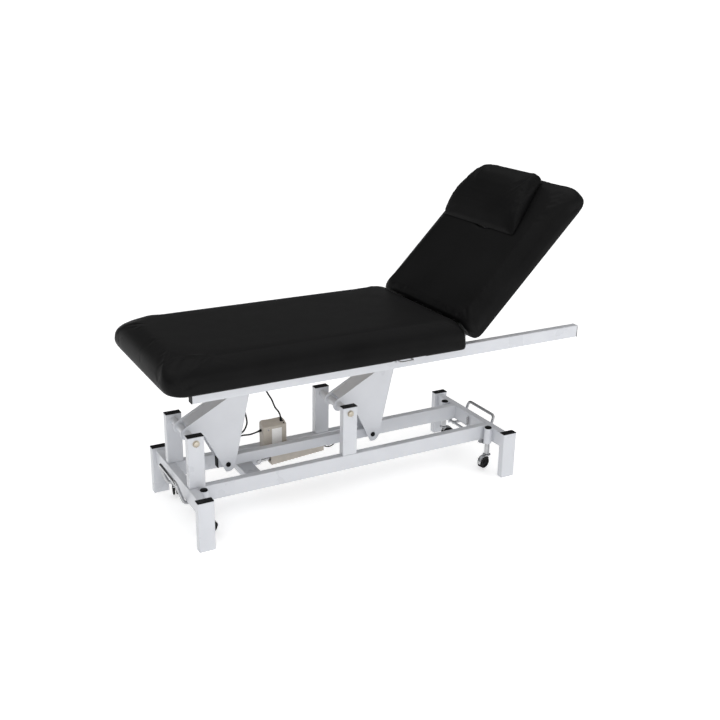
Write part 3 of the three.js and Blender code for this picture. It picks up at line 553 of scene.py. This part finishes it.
def pin_with_caps(node):
    """A pin with a domed plastic cap pushed over each end."""
    low, high = (Vector(corner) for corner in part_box(node))
    middle = (low + high) / 2
    radius = (high.x - low.x) / 2
    reach = high.y
    profile = [(0, -reach - 0.0012), (radius * 0.6, -reach - 0.0006), (radius * 0.9, -reach + 0.0006),
               (radius, -reach + 0.0022), (radius, -reach + 0.004), (0.006, -reach + 0.004)]
    profile += [(r, -h) for r, h in reversed(profile)]
    piece = lathe_piece(f"{node}_finish", profile, "y", (middle.x, 0, middle.z), "black_plastic",
                        BODY_OF[node])
    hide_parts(node)


# ---------- casters ----------

def build_caster(end, side_name):
    name = f"{end}_{side_name}"
    swivel = Vector(JOINTS[f"fork_{name}_swivel"]["pos_m"])
    axle = Vector(JOINTS[f"wheel_{name}_roll"]["pos_m"])
    heading = math.atan2(swivel.y - axle.y, swivel.x - axle.x)
    turn = Matrix.Translation((swivel.x, swivel.y, 0)) @ Matrix.Rotation(heading, 4, "Z")
    axle_here = turn.inverted() @ axle
    caster_stem(name, swivel)
    caster_fork(name, turn, axle_here)
    caster_wheel(name, turn, axle_here)


def caster_stem(name, swivel):
    low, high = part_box(f"caster_stem_{name}")
    bottom, top = low[2], high[2]
    profile = [(0, bottom), (0.0095, bottom), (0.011, bottom + 0.0015), (0.011, top - 0.002),
               (0.0095, top), (0, top)]
    piece = lathe_piece(f"stem_{name}", profile, "z", (swivel.x, swivel.y, 0), "chrome", f"stem_{name}")
    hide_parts(f"caster_stem_{name}")


def ring_band(bm, center, radii, degrees, halves, steps=18):
    """A pressed band that follows part of a circle about the axle; its half width runs between two values."""
    loops = []
    for i in range(steps + 1):
        t = i / steps
        angle = math.radians(degrees[0] + (degrees[1] - degrees[0]) * t)
        half = halves[0] + (halves[1] - halves[0]) * t * t
        loops.append([
            bm.verts.new((center.x + r * math.cos(angle), side * half, center.z + r * math.sin(angle)))
            for r, side in ((radii[0], -1), (radii[0], 1), (radii[1], 1), (radii[1], -1))
        ])
    for first, second in zip(loops, loops[1:]):
        for k in range(4):
            j = (k + 1) % 4
            bm.faces.new((first[k], first[j], second[j], second[k]))
    bm.faces.new(loops[0])
    bm.faces.new(loops[-1])


def caster_fork(name, turn, axle):
    """A bright hood over the twin wheels, a middle web that holds the axle, and a bearing plate on top."""
    bm = bmesh.new()
    ring_band(bm, axle, (0.0260, 0.0278), (30, 188), (0.0106, 0.0082))
    web = [(axle.x - 0.009, axle.z), (axle.x + 0.009, axle.z), (0.008, 0.062), (axle.x - 0.008, 0.061)]
    cheeks = [[bm.verts.new((x, y, z)) for x, z in web] for y in (-0.0026, 0.0026)]
    for cheek in cheeks:
        bm.faces.new(cheek)
    for i in range(4):
        j = (i + 1) % 4
        bm.faces.new((cheeks[0][i], cheeks[0][j], cheeks[1][j], cheeks[1][i]))
    bmesh.ops.recalc_face_normals(bm, faces=bm.faces)
    bm.normal_update()
    edges = [e for e in bm.edges if len(e.link_faces) == 2 and e.calc_face_angle(0) > math.radians(50)]
    bevel_edges(bm, edges, 0.0005, 2)
    lathe(bm, [(0, -0.0026), (0.009, -0.0026), (0.009, 0.0026), (0, 0.0026)], "y", axle, 32)
    raceway = [(0, 0.0585), (0.0125, 0.0585), (0.0150, 0.0605), (0.0165, 0.0622), (0.0168, 0.0638),
               (0.0155, 0.0652), (0.0120, 0.0664), (0, 0.0666)]
    lathe(bm, raceway, "z", (0, 0, 0))
    bm.transform(turn)
    piece = new_piece(f"fork_hood_{name}", bm, "chrome", f"fork_{name}")
    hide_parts(f"caster_fork_{name}")


def caster_wheel(name, turn, axle):
    """Twin wheels: a dark tread on each, a dished hub face outside, and the axle's button in its middle."""
    tread = bmesh.new()
    hub = bmesh.new()
    for side in (-1, 1):
        tyre = [(0.0185, 0.0034), (0.0236, 0.0032), (0.0250, 0.0044), (0.0250, 0.0088), (0.0240, 0.0100),
                (0.0215, 0.0105), (0.0185, 0.0100), (0.0185, 0.0034)]
        core = [(0.0036, 0.0032), (0.0186, 0.0036), (0.0186, 0.0098), (0.0165, 0.0086), (0.0080, 0.0080),
                (0.0068, 0.0102), (0.0036, 0.0105), (0.0036, 0.0032)]
        lathe(tread, [(r, side * y) for r, y in tyre], "y", axle, 48)
        lathe(hub, [(r, side * y) for r, y in core], "y", axle, 48)
    lathe(hub, [(0, -0.0098), (0.0037, -0.0098), (0.0037, 0.0098), (0, 0.0098)], "y", axle, 20)
    for bm in (tread, hub):
        bm.transform(turn)
    tyre = new_piece(f"wheel_tread_{name}", tread, "black_rubber", f"wheel_{name}")
    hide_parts(f"caster_wheel_{name}")
    new_piece(f"wheel_hub_{name}", hub, "black_plastic", f"wheel_{name}")


# ---------- pedals ----------

def build_pedal(end):
    """A bent bar on a cross shaft, with a lever near each end of the shaft."""
    outward = 1 if end == "head" else -1
    shaft = Vector(JOINTS[f"pedal_{end}_press"]["pos_m"])
    bar, reach, rise = 0.091, 0.076, 0.085
    elbow_x = shaft.x + outward * (reach - 0.028)
    tip_x = shaft.x + outward * reach
    corners = [(shaft.x, -bar, shaft.z), (elbow_x, -bar, shaft.z), (tip_x, -bar, shaft.z + rise),
               (tip_x, bar, shaft.z + rise), (elbow_x, bar, shaft.z), (shaft.x, bar, shaft.z)]
    bm = bmesh.new()
    sweep(bm, filleted(corners, 0.018), 0.0065, 20)
    rod_profile = [(0, -0.142), (0.005, -0.142), (0.006, -0.141), (0.006, 0.141), (0.005, 0.142), (0, 0.142)]
    lathe(bm, rod_profile, "y", shaft, 28)
    lever = [(0.009, -0.007), (0.009, 0.007), (-0.032, 0.014), (-0.034, 0.009), (-0.032, 0.005), (0, -0.009)]
    weld = [(0.006, -0.004), (0.0078, -0.0015), (0.0078, 0.0015), (0.006, 0.004), (0.006, -0.004)]
    for _, side in SIDES:
        lathe(bm, weld, "y", (shaft.x, side * bar, shaft.z), 28)
        y = side * 0.13825
        faces = []
        for inner in (-0.00175, 0.00175):
            faces.append([bm.verts.new((shaft.x + outward * a, y + inner, shaft.z + b)) for a, b in lever])
        bm.faces.new(faces[0])
        bm.faces.new(faces[1])
        for i in range(len(lever)):
            j = (i + 1) % len(lever)
            bm.faces.new((faces[0][i], faces[0][j], faces[1][j], faces[1][i]))
    bmesh.ops.recalc_face_normals(bm, faces=bm.faces)
    piece = new_piece(f"pedal_bar_{end}", bm, "chrome", f"pedal_{end}")
    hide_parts(f"pedal_{end}")
    pedal_spring(end)


def pedal_spring(end):
    """A wound return spring with a hook at each end."""
    low, high = (Vector(corner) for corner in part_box(f"pedal_spring_{end}"))
    middle = (low + high) / 2
    wire = 0.0007
    radius = 0.0045 - wire
    turns = 16
    per_turn = 14
    bottom, top = low.z + 0.006, high.z - 0.006
    path = []
    for i in range(turns * per_turn + 1):
        angle = 2 * math.pi * i / per_turn
        height = bottom + (top - bottom) * i / (turns * per_turn)
        x, y = middle.x + radius * math.cos(angle), middle.y + radius * math.sin(angle)
        path.append(Vector((x, y, height)))
    x, y = middle.x, middle.y
    lower_hook = [Vector((x, y, low.z + wire)), Vector((x + radius, y, low.z + 0.003))]
    upper_hook = [Vector((x + radius, y, high.z - 0.003)), Vector((x, y, high.z - wire))]
    piece = rod(f"return_spring_{end}", lower_hook + path + upper_hook, wire, "chrome", "base", sides=8)
    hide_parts(f"pedal_spring_{end}")


def build_release_loop():
    joint = JOINTS["release_squeeze"]
    y, z = joint["pos_m"][1], joint["pos_m"][2]
    low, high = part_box("release_loop")
    reach = low[1] + 0.003
    left, right = low[0] + 0.012, high[0] - 0.012
    corners = [(low[0], y, z), (left, y, z), (left, reach, z)]
    corners += [(right, reach, z), (right, y, z), (high[0], y, z)]
    piece = rod("release_wire", filleted(corners, 0.006), 0.003, "chrome", "release_loop", sides=20)
    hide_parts("release_loop")


# ---------- backrest frame of reference ----------

HINGE = Vector(JOINTS["backrest_recline"]["pos_m"])
BACKREST_ANGLE = -math.radians(JOINTS["backrest_recline"]["range_deg"][0])
BACKREST_TURN = Matrix.Translation(HINGE) @ Matrix.Rotation(-BACKREST_ANGLE, 4, "Y")


# ---------- upholstery ----------

def plan_point(step, count, bounds, plan, inset):
    """A point on the cushion's plan, walked round its rounded rectangle."""
    x0, x1, y0, y1 = bounds
    low, high, near, far = (inset * share for share in plan["rolls"])
    per_corner = count // 4
    quadrant, place = divmod(step, per_corner)
    radius = max(plan["corners"][quadrant] + inset * plan["growth"][quadrant], 0.003)
    cx = x1 - high - radius if quadrant in (0, 3) else x0 + low + radius
    cy = y1 - far - radius if quadrant in (0, 1) else y0 + near + radius
    angle = math.pi / 2 * (quadrant + place / (per_corner - 1))
    return cx + radius * math.cos(angle), cy + radius * math.sin(angle)


def even_plan(*corners):
    """A plan whose outlines are all parallel."""
    return {"corners": corners, "growth": (-1,) * 4, "rolls": (1,) * 4}


def plan_levels(bm, levels, bounds, plan, count=64):
    """A closed solid from plan outlines stacked at (inset, height) levels."""
    rings = [
        [bm.verts.new((*plan_point(i, count, bounds, plan, inset), z)) for i in range(count)]
        for inset, z in levels
    ]
    for first, second in zip(rings, rings[1:]):
        for i in range(count):
            j = (i + 1) % count
            bm.faces.new((first[i], first[j], second[j], second[i]))
    bm.faces.new(list(reversed(rings[0])))
    bm.faces.new(rings[-1])


def cushion_mesh(bounds, bottom, top, plan):
    """A pad with a broad rolled upper edge and a lower edge that turns in under the board."""
    edge, rise = plan["edge"], plan["rise"]
    lip = plan["lip"]
    levels = [(0.034, bottom), (0.026, bottom - lip), (0.004, bottom - lip), (0.0, bottom + 0.004)]
    for i in range(13):
        angle = math.pi / 2 * i / 12
        levels.append((edge * (1 - math.cos(angle)), top - rise * (1 - math.sin(angle))))
    bm = bmesh.new()
    plan_levels(bm, levels, bounds, plan)
    return bm


def crown(piece, bounds, bottom, top, height):
    """Domes the upper face a little, as foam under stretched vinyl stands."""
    x0, x1, y0, y1 = bounds
    for vertex in piece.data.vertices:
        u = (2 * vertex.co.x - x0 - x1) / (x1 - x0)
        v = (2 * vertex.co.y - y0 - y1) / (y1 - y0)
        lift = max(0.0, 1 - u ** 4) * max(0.0, 1 - v * v)
        share = min(max((vertex.co.z - bottom) / (top - bottom), 0), 1)
        vertex.co.z += height * lift * share


def board_panel(name, bounds, corners, low, high, body, node, transform=None, hole=None):
    """The plywood that shows inside the turned-in vinyl under a cushion."""
    bm = bmesh.new()
    plan_levels(bm, [(BOARD_INSET, low), (BOARD_INSET, high)], bounds, even_plan(*corners))
    piece = bare_object(name, bm)
    if hole:
        cut_hole(piece, *hole)
    if transform:
        piece.data.transform(transform)
    piece.data.materials.append(MATERIALS["plywood"])
    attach(piece, body)
    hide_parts(node)


def cut_hole(piece, bounds, corner, low, high):
    bm = bmesh.new()
    plan_levels(bm, [(0, low), (0, high)], bounds, even_plan(corner, corner, corner, corner))
    cutter = bare_object("hole_cutter", bm)
    modifier = piece.modifiers.new("hole", "BOOLEAN")
    modifier.object = cutter
    modifier.solver = "EXACT"
    bake(piece)
    bpy.data.objects.remove(cutter)


def bare_object(name, bm):
    mesh = bpy.data.meshes.new(name)
    bm.to_mesh(mesh)
    bm.free()
    piece = bpy.data.objects.new(name, mesh)
    bpy.context.scene.collection.objects.link(piece)
    return piece


def bake(piece):
    """Puts the modifiers' result into the mesh."""
    depsgraph = bpy.context.evaluated_depsgraph_get()
    mesh = bpy.data.meshes.new_from_object(piece.evaluated_get(depsgraph))
    piece.modifiers.clear()
    piece.data = mesh


def remesh(piece, voxel):
    modifier = piece.modifiers.new("voxels", "REMESH")
    modifier.mode = "VOXEL"
    modifier.voxel_size = voxel
    bake(piece)


def swell(cushions):
    """Blows the pads up against their own cloth: each entry is (piece, pinned, cap, pressure)."""
    scene = bpy.context.scene
    starts = []
    for piece, pinned, _, pressure in cushions:
        starts.append(np.array([v.co for v in piece.data.vertices]))
        group = piece.vertex_groups.new(name="pinned")
        group.add([v.index for v in piece.data.vertices if pinned(v.co)], 1, "REPLACE")
        cloth = piece.modifiers.new("cloth", "CLOTH")
        settings = cloth.settings
        settings.quality = 4
        settings.mass = 0.35
        settings.tension_stiffness = 18
        settings.compression_stiffness = 18
        settings.shear_stiffness = 8
        settings.bending_stiffness = 1.2
        settings.use_pressure = True
        settings.uniform_pressure_force = pressure
        settings.vertex_group_mass = "pinned"
        settings.effector_weights.gravity = 0
        cloth.point_cache.frame_start = 1
        cloth.point_cache.frame_end = SWELL_FRAMES
    for step in range(1, SWELL_FRAMES + 1):
        scene.frame_set(step)
    for (piece, _, cap, _), start in zip(cushions, starts):
        bake(piece)
        moved = np.array([v.co for v in piece.data.vertices]) - start
        length = np.linalg.norm(moved, axis=1, keepdims=True)
        moved *= np.tanh(length / cap) * cap / np.maximum(length, 1e-9)
        piece.data.vertices.foreach_set("co", (start + moved).ravel())
        piece.vertex_groups.clear()
    scene.frame_set(1)


def hold_in(piece, low, high):
    """Keeps every point inside a box, in the piece's own coordinates."""
    points = np.array([v.co for v in piece.data.vertices])
    points = np.clip(points, low, high)
    piece.data.vertices.foreach_set("co", points.ravel())
    piece.data.update()


def crease(piece, path, depth, width):
    """Presses a soft fold into the surface along a path, deepest in its middle."""
    mesh = piece.data
    points = np.array([v.co for v in mesh.vertices])
    normals = np.array([v.normal for v in mesh.vertices])
    path = np.array([tuple(p) for p in path])
    close = np.nonzero(np.all(points > path.min(axis=0) - 3 * width, axis=1)
                       & np.all(points < path.max(axis=0) + 3 * width, axis=1))[0]
    apart = np.linalg.norm(points[close, None, :] - path[None, :, :], axis=2)
    nearest = apart.min(axis=1)
    share = np.clip(apart.argmin(axis=1) / (len(path) - 1), 0.02, 0.98)
    fold = np.exp(-((nearest / width) ** 2)) - 0.45 * np.exp(-(((nearest - 1.6 * width) / width) ** 2))
    push = depth * np.sin(np.pi * share) ** 0.6 * fold
    points[close] -= normals[close] * push[:, None]
    mesh.vertices.foreach_set("co", points.ravel())
    mesh.update()


SEAT_CREASE = (
    (-0.855, -0.196, 0.668), (-0.830, -0.205, 0.692), (-0.805, -0.213, 0.702), (-0.752, -0.226, 0.704),
    (-0.705, -0.248, 0.702), (-0.655, -0.277, 0.696), (-0.600, -0.300, 0.684),
)


def press_seat_clear(seat):
    """The cushion gives way to the hinge plates at its head end and to the squeezed release loop under it."""
    points = np.array([v.co for v in seat.data.vertices])
    from_plate = np.abs(np.abs(points[:, 1]) - HINGE_PLATE_MIDDLE)
    beside = (from_plate < 0.016) & (np.abs(points[:, 2] - HINGE.z) < 0.022)
    points[beside, 0] = np.minimum(points[beside, 0], HINGE.x - 0.0095)
    loop_x = JOINTS["release_squeeze"]["pos_m"][0]
    over_loop = (np.abs(points[:, 0] - loop_x) < 0.07) & (points[:, 1] < -0.22)
    points[over_loop, 2] = np.maximum(points[over_loop, 2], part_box("seat_cover")[0][2] + 0.0008)
    seat.data.vertices.foreach_set("co", points.ravel())
    seat.data.update()


def finish_cushion(piece, body, fill, *nodes):
    piece.data.materials.clear()
    piece.data.materials.append(MATERIALS["black_vinyl"])
    for polygon in piece.data.polygons:
        polygon.use_smooth = True
    subdivision = piece.modifiers.new("smooth", "SUBSURF")
    subdivision.levels = 1
    subdivision.render_levels = 1
    bake(piece)
    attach(piece, body)
    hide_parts(*nodes)


def make_seat():
    low, high = (Vector(corner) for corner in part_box("seat_cover"))
    bounds = (low.x, high.x + 0.005, low.y + COVER_INSET, high.y - COVER_INSET)
    bm = cushion_mesh(bounds, low.z + 0.0004, high.z + 0.001, SEAT_PLAN)
    piece = bare_object("seat_cushion", bm)
    remesh(piece, CUSHION_VOXEL)
    crown(piece, bounds, low.z, high.z, CROWN["seat"])
    tuck_foot_end(piece, low)
    board_panel("seat_board_panel", bounds, (0.045, 0.085, 0.085, 0.045), low.z, low.z + 0.010, "top_frame",
                "seat_board")
    return piece, low, high


def tuck_foot_end(piece, low):
    """The vinyl is pulled further in under the foot end than along the sides."""
    for vertex in piece.data.vertices:
        share = 1 - min(max((vertex.co.z - low.z) / 0.030, 0), 1)
        reach = min(max((low.x + 0.12 - vertex.co.x) / 0.12, 0), 1)
        vertex.co.x += 0.013 * share * share * reach


def make_backrest():
    u0, u1 = BACKREST_LENGTH
    bounds = (u0, u1, -COUCH_HALF_WIDTH + COVER_INSET, COUCH_HALF_WIDTH - COVER_INSET)
    back, face = BACKREST_BACK, BACKREST_FACE
    bm = cushion_mesh(bounds, back + 0.0004, face - 0.001, BACKREST_PLAN)
    piece = bare_object("backrest_cushion", bm)
    cut_hole(piece, hole_bounds(0.002), FACE_HOLE["corner"], -0.08, 0.08)
    remesh(piece, CUSHION_VOXEL)
    crown(piece, bounds, back, face, CROWN["backrest"])
    hole = (hole_bounds(0.008), FACE_HOLE["corner"], -0.08, 0.08)
    board_panel("backrest_board_panel", bounds, (0.085, 0.045, 0.045, 0.085), back, back + 0.008, "backrest",
                "backrest_board", BACKREST_TURN, hole)
    return piece


def hole_bounds(wider):
    u, half_length, half_width = FACE_HOLE["u"], FACE_HOLE["length"] / 2, FACE_HOLE["width"] / 2
    return (u - half_length - wider, u + half_length + wider, -half_width - wider, half_width + wider)


# Wedge pillow: (place along the backrest, near edge, far edge, height), from the neck to the crown
PILLOW_STATIONS = (
    (0.424, -0.198, 0.262, 0.004), (0.434, -0.199, 0.272, 0.007), (0.452, -0.194, 0.280, 0.013),
    (0.476, -0.187, 0.281, 0.023), (0.508, -0.176, 0.277, 0.034), (0.550, -0.164, 0.268, 0.043),
    (0.600, -0.148, 0.250, 0.049), (0.645, -0.136, 0.230, 0.050), (0.672, -0.128, 0.208, 0.046),
    (0.688, -0.117, 0.184, 0.038), (0.696, -0.100, 0.156, 0.026), (0.699, -0.085, 0.136, 0.012),
)
PILLOW_BASE = 0.0568


def pillow_edge(side):
    """The seam between the top panel and the side gusset, in the backrest's frame."""
    return [
        Vector((u, (near if side < 0 else far) - side * 0.006, PILLOW_BASE + height - 0.004))
        for u, near, far, height in PILLOW_STATIONS[1:-1]
    ]


def make_pillow():
    """A wedge: thin at the neck, thick and rounded at the crown, wider at the neck."""
    bm = bmesh.new()
    loops = []
    for u, near, far, height in PILLOW_STATIONS:
        soft = min(0.012, 0.45 * height)
        section = (
            (near - 0.006, 0), (far - 0.002, 0), (far, height - soft),
            (far - 0.3 * soft, height - 0.3 * soft), (far - soft, height), (near + soft, height),
            (near + 0.3 * soft, height - 0.3 * soft), (near, height - soft),
        )
        loops.append([bm.verts.new((u, y, PILLOW_BASE + n)) for y, n in section])
    for first, second in zip(loops, loops[1:]):
        for k in range(len(first)):
            j = (k + 1) % len(first)
            bm.faces.new((first[k], first[j], second[j], second[k]))
    bm.faces.new(loops[0])
    bm.faces.new(loops[-1])
    bmesh.ops.recalc_face_normals(bm, faces=bm.faces)
    piece = bare_object("pillow_cushion", bm)
    remesh(piece, PILLOW_VOXEL)
    return piece


def build_upholstery():
    """The three padded pieces: blown up, kept clear of what they touch, and creased along their seams."""
    seat, seat_low, seat_high = make_seat()
    backrest = make_backrest()
    pillow = make_pillow()
    swell([
        (seat, lambda co: co.z < seat_low.z + 0.006, 0.005, 2.5),
        (backrest, lambda co: co.z < BACKREST_BACK + 0.006, 0.005, 2.5),
        (pillow, lambda co: co.z < PILLOW_BASE + 0.003, 0.006, 2.5),
    ])
    hold_in(seat, (seat_low.x - 0.004, -0.324, seat_low.z - SEAT_PLAN["lip"]),
            (seat_high.x + 0.008, 0.324, 0.710))
    hold_in(backrest, (0.018, -0.324, BACKREST_BACK + 0.0001), (0.716, 0.324, PILLOW_BASE - 0.0004))
    hold_in(pillow, (0.40, -0.30, PILLOW_BASE), (0.70, 0.32, 0.112))
    press_seat_clear(seat)
    crease(seat, smooth_curve(SEAT_CREASE, 8), 0.0016, 0.007)
    crease(pillow, smooth_curve(pillow_edge(-1), 3), 0.0016, 0.0035)
    crease(pillow, smooth_curve(pillow_edge(1), 3), 0.0016, 0.0035)
    for piece in (backrest, pillow):
        piece.data.transform(BACKREST_TURN)
        piece.data.update()
    finish_cushion(seat, "top_frame", 0.85, "seat_cover", "seat_foam")
    finish_cushion(backrest, "backrest", 0.85, "backrest_cover", "backrest_foam")
    finish_cushion(pillow, "pillow", 0.7, "head_pillow")


# ---------- actuator, gas spring and control box ----------

def build_actuator():
    refine("actuator_body", 0.004, "grey_plastic", 0.02)
    refine("actuator_rod", 0.0008, "chrome", 0.004)
    refine("gas_spring_cylinder", 0.0008, "black_steel", 0.001)
    refine("gas_spring_rod", 0.0005, "chrome", 0.001)


def build_control_box():
    refine("control_box", 0.003, "grey_plastic", 0.02)
    low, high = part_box("control_box")
    front = low[1]
    rounded_box("blank_plate", (-0.331, front - 0.0008, 0.193), (-0.290, front + 0.0004, 0.256), 0.0003,
                "paper_label", "base", 1)
    screw = [(0, -0.0012), (0.0022, -0.0012), (0.0034, -0.0004), (0.0036, 0.0008), (0, 0.0008)]
    lathe_piece("box_screw", screw, "y", (-0.345, front, 0.254), "chrome", "base", sides=24)
    lathe_piece("box_screw_low", screw, "y", (-0.345, front, 0.186), "chrome", "base", sides=24)
    for k, depth in enumerate((0.008, 0.018, 0.028)):
        top = 0.266 + 0.018 * depth / 0.038
        plug = [(0, top - 0.006), (0.0028, top - 0.006), (0.0028, top + 0.0010), (0.0020, top + 0.0022),
                (0.0008, top + 0.0012), (0, top + 0.0012)]
        place = (high[0] - 0.009, front + depth, 0)
        lathe_piece(f"box_socket_{k}", plug, "z", place, "black_plastic", "base", 24)


# ---------- leads ----------

HANDSET_LEAD = (
    (-0.284, 0.084, 0.274), (-0.286, 0.084, 0.292), (-0.294, 0.084, 0.314), (-0.309, 0.084, 0.336),
    (-0.321, 0.084, 0.367), (-0.335, 0.084, 0.392), (-0.348, 0.082, 0.414), (-0.370, 0.076, 0.440),
    (-0.400, 0.066, 0.462), (-0.436, 0.056, 0.478), (-0.474, 0.050, 0.480),
)
LOOPED_LEAD = (
    (-0.366, 0.084, 0.2512), (-0.388, 0.084, 0.246), (-0.414, 0.084, 0.242), (-0.447, 0.084, 0.244),
    (-0.480, 0.076, 0.243), (-0.500, 0.064, 0.249), (-0.492, 0.057, 0.260), (-0.468, 0.057, 0.264),
    (-0.448, 0.059, 0.276), (-0.436, 0.060, 0.300), (-0.438, 0.060, 0.328), (-0.446, 0.058, 0.360),
    (-0.460, 0.054, 0.400), (-0.474, 0.050, 0.440), (-0.478, 0.050, 0.468),
)
ACTUATOR_LEAD = (
    (-0.131, 0.0255, 0.162), (-0.121, 0.0240, 0.1570), (-0.110, 0.0210, 0.1545), (-0.094, 0.0208, 0.157),
    (-0.079, 0.0208, 0.169), (-0.070, 0.0215, 0.186), (-0.0655, 0.023, 0.199), (-0.064, 0.0215, 0.206),
    (-0.064, 0.0150, 0.2095),
)


def lead(name, points, radius, *bodies):
    """A flexible lead along a smooth curve; the bodies passed to it are not used."""
    bm = bmesh.new()
    sweep(bm, smooth_curve(points, 6), radius, 14)
    bmesh.ops.recalc_face_normals(bm, faces=bm.faces)
    piece = new_piece(f"{name}_finish", bm, "black_rubber", None)
    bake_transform(piece)
    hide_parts(name)


def strain_relief(name, start, toward, radius, body):
    """A tapered sleeve where a lead leaves a housing."""
    start, toward = Vector(start), Vector(toward)
    along = (toward - start).normalized()
    path = [start + along * 0.0015 * i for i in range(13)]
    rod(name, path, lambda t: radius * (1.75 - 0.6 * t), "black_rubber", body, sides=18)


def build_leads():
    lead("handset_lead", HANDSET_LEAD, 0.0032, "base", "crank_foot")
    lead("looped_lead", LOOPED_LEAD, 0.0032, "base", "crank_foot")
    lead("actuator_lead", ACTUATOR_LEAD, 0.0024, "actuator_body", "tie_bar")
    strain_relief("handset_strain_relief", HANDSET_LEAD[0], HANDSET_LEAD[1], 0.0032, "base")
    strain_relief("looped_strain_relief", LOOPED_LEAD[0], LOOPED_LEAD[1], 0.0032, "base")
    rounded_box("lead_clip", (-0.486, 0.0455, 0.463), (-0.470, 0.0545, 0.487), 0.003, "black_plastic",
                "top_frame")
    upper = ((-0.478, 0.050, 0.484), (-0.476, 0.049, 0.500), (-0.466, 0.046, 0.520), (-0.452, 0.044, 0.540),
             (-0.446, 0.044, 0.558))
    rod("lead_to_cross_tube", smooth_curve(upper, 6), 0.0042, "black_rubber", "top_frame", sides=14)
    grommet = [(0, 0.5525), (0.0062, 0.5525), (0.0078, 0.5545), (0.0078, 0.5562), (0, 0.5562)]
    lathe_piece("lead_grommet", grommet, "z", (-0.446, 0.044, 0), "black_rubber", "top_frame", sides=28)


# ---------- studio ----------

def build_stage():
    bm = bmesh.new()
    bmesh.ops.create_grid(bm, x_segments=1, y_segments=1, size=60)
    floor = bare_object("floor", bm)
    material, _, shader = new_material("pale_floor", (0.95, 0.95, 0.95), 0.7)
    shader.inputs["Specular IOR Level"].default_value = 0.0
    shader.inputs["Emission Color"].default_value = (1, 1, 1, 1)
    shader.inputs["Emission Strength"].default_value = 0.45
    floor.data.materials.append(material)
    build_world()
    area_light("key", (-2.6, -3.2, 2.4), (-0.2, 0, 0.4), 2.2, 28)
    area_light("fill", (2.6, -2.8, 1.8), (0.3, 0, 0.4), 2.0, 15)
    area_light("front", (-0.4, -3.4, 0.9), (-0.1, 0, 0.4), 2.2, 20)


def build_world():
    """A studio dome: bright overhead, a dark band around, and white where it meets the floor."""
    world = bpy.data.worlds.new("studio")
    bpy.context.scene.world = world
    world.use_nodes = True
    tree = world.node_tree
    direction = tree.nodes.new("ShaderNodeTexCoord")
    height = tree.nodes.new("ShaderNodeSeparateXYZ")
    ramp = tree.nodes.new("ShaderNodeValToRGB")
    tree.links.new(direction.outputs["Generated"], height.inputs["Vector"])
    tree.links.new(height.outputs["Z"], ramp.inputs["Fac"])
    stops = ((0.0, 1.0), (0.05, 1.0), (0.12, 0.12), (0.30, 0.06), (0.55, 0.08), (0.80, 1.0), (1.0, 1.0))
    while len(ramp.color_ramp.elements) < len(stops):
        ramp.color_ramp.elements.new(0.5)
    for element, (position, value) in zip(ramp.color_ramp.elements, stops):
        element.position = position
        element.color = (value, value, value, 1)
    background = tree.nodes["Background"]
    background.inputs["Strength"].default_value = 1.17
    tree.links.new(ramp.outputs["Color"], background.inputs["Color"])


def area_light(name, place, target, size, power):
    data = bpy.data.lights.new(name, "AREA")
    data.size = size
    data.energy = power
    light = bpy.data.objects.new(name, data)
    turn = (Vector(target) - Vector(place)).to_track_quat("-Z", "Y").to_matrix().to_4x4()
    light.matrix_world = Matrix.Translation(place) @ turn
    bpy.context.scene.collection.objects.link(light)


# ---------- build ----------

add_camera()
build_steel()
build_caps()
build_bolts()
for end_name in ENDS:
    build_pedal(end_name)
    for side_label, _ in SIDES:
        build_caster(end_name, side_label)
build_release_loop()
build_actuator()
build_control_box()
build_leads()
build_upholstery()
build_stage()
bpy.context.scene.view_settings.view_transform = "Standard"
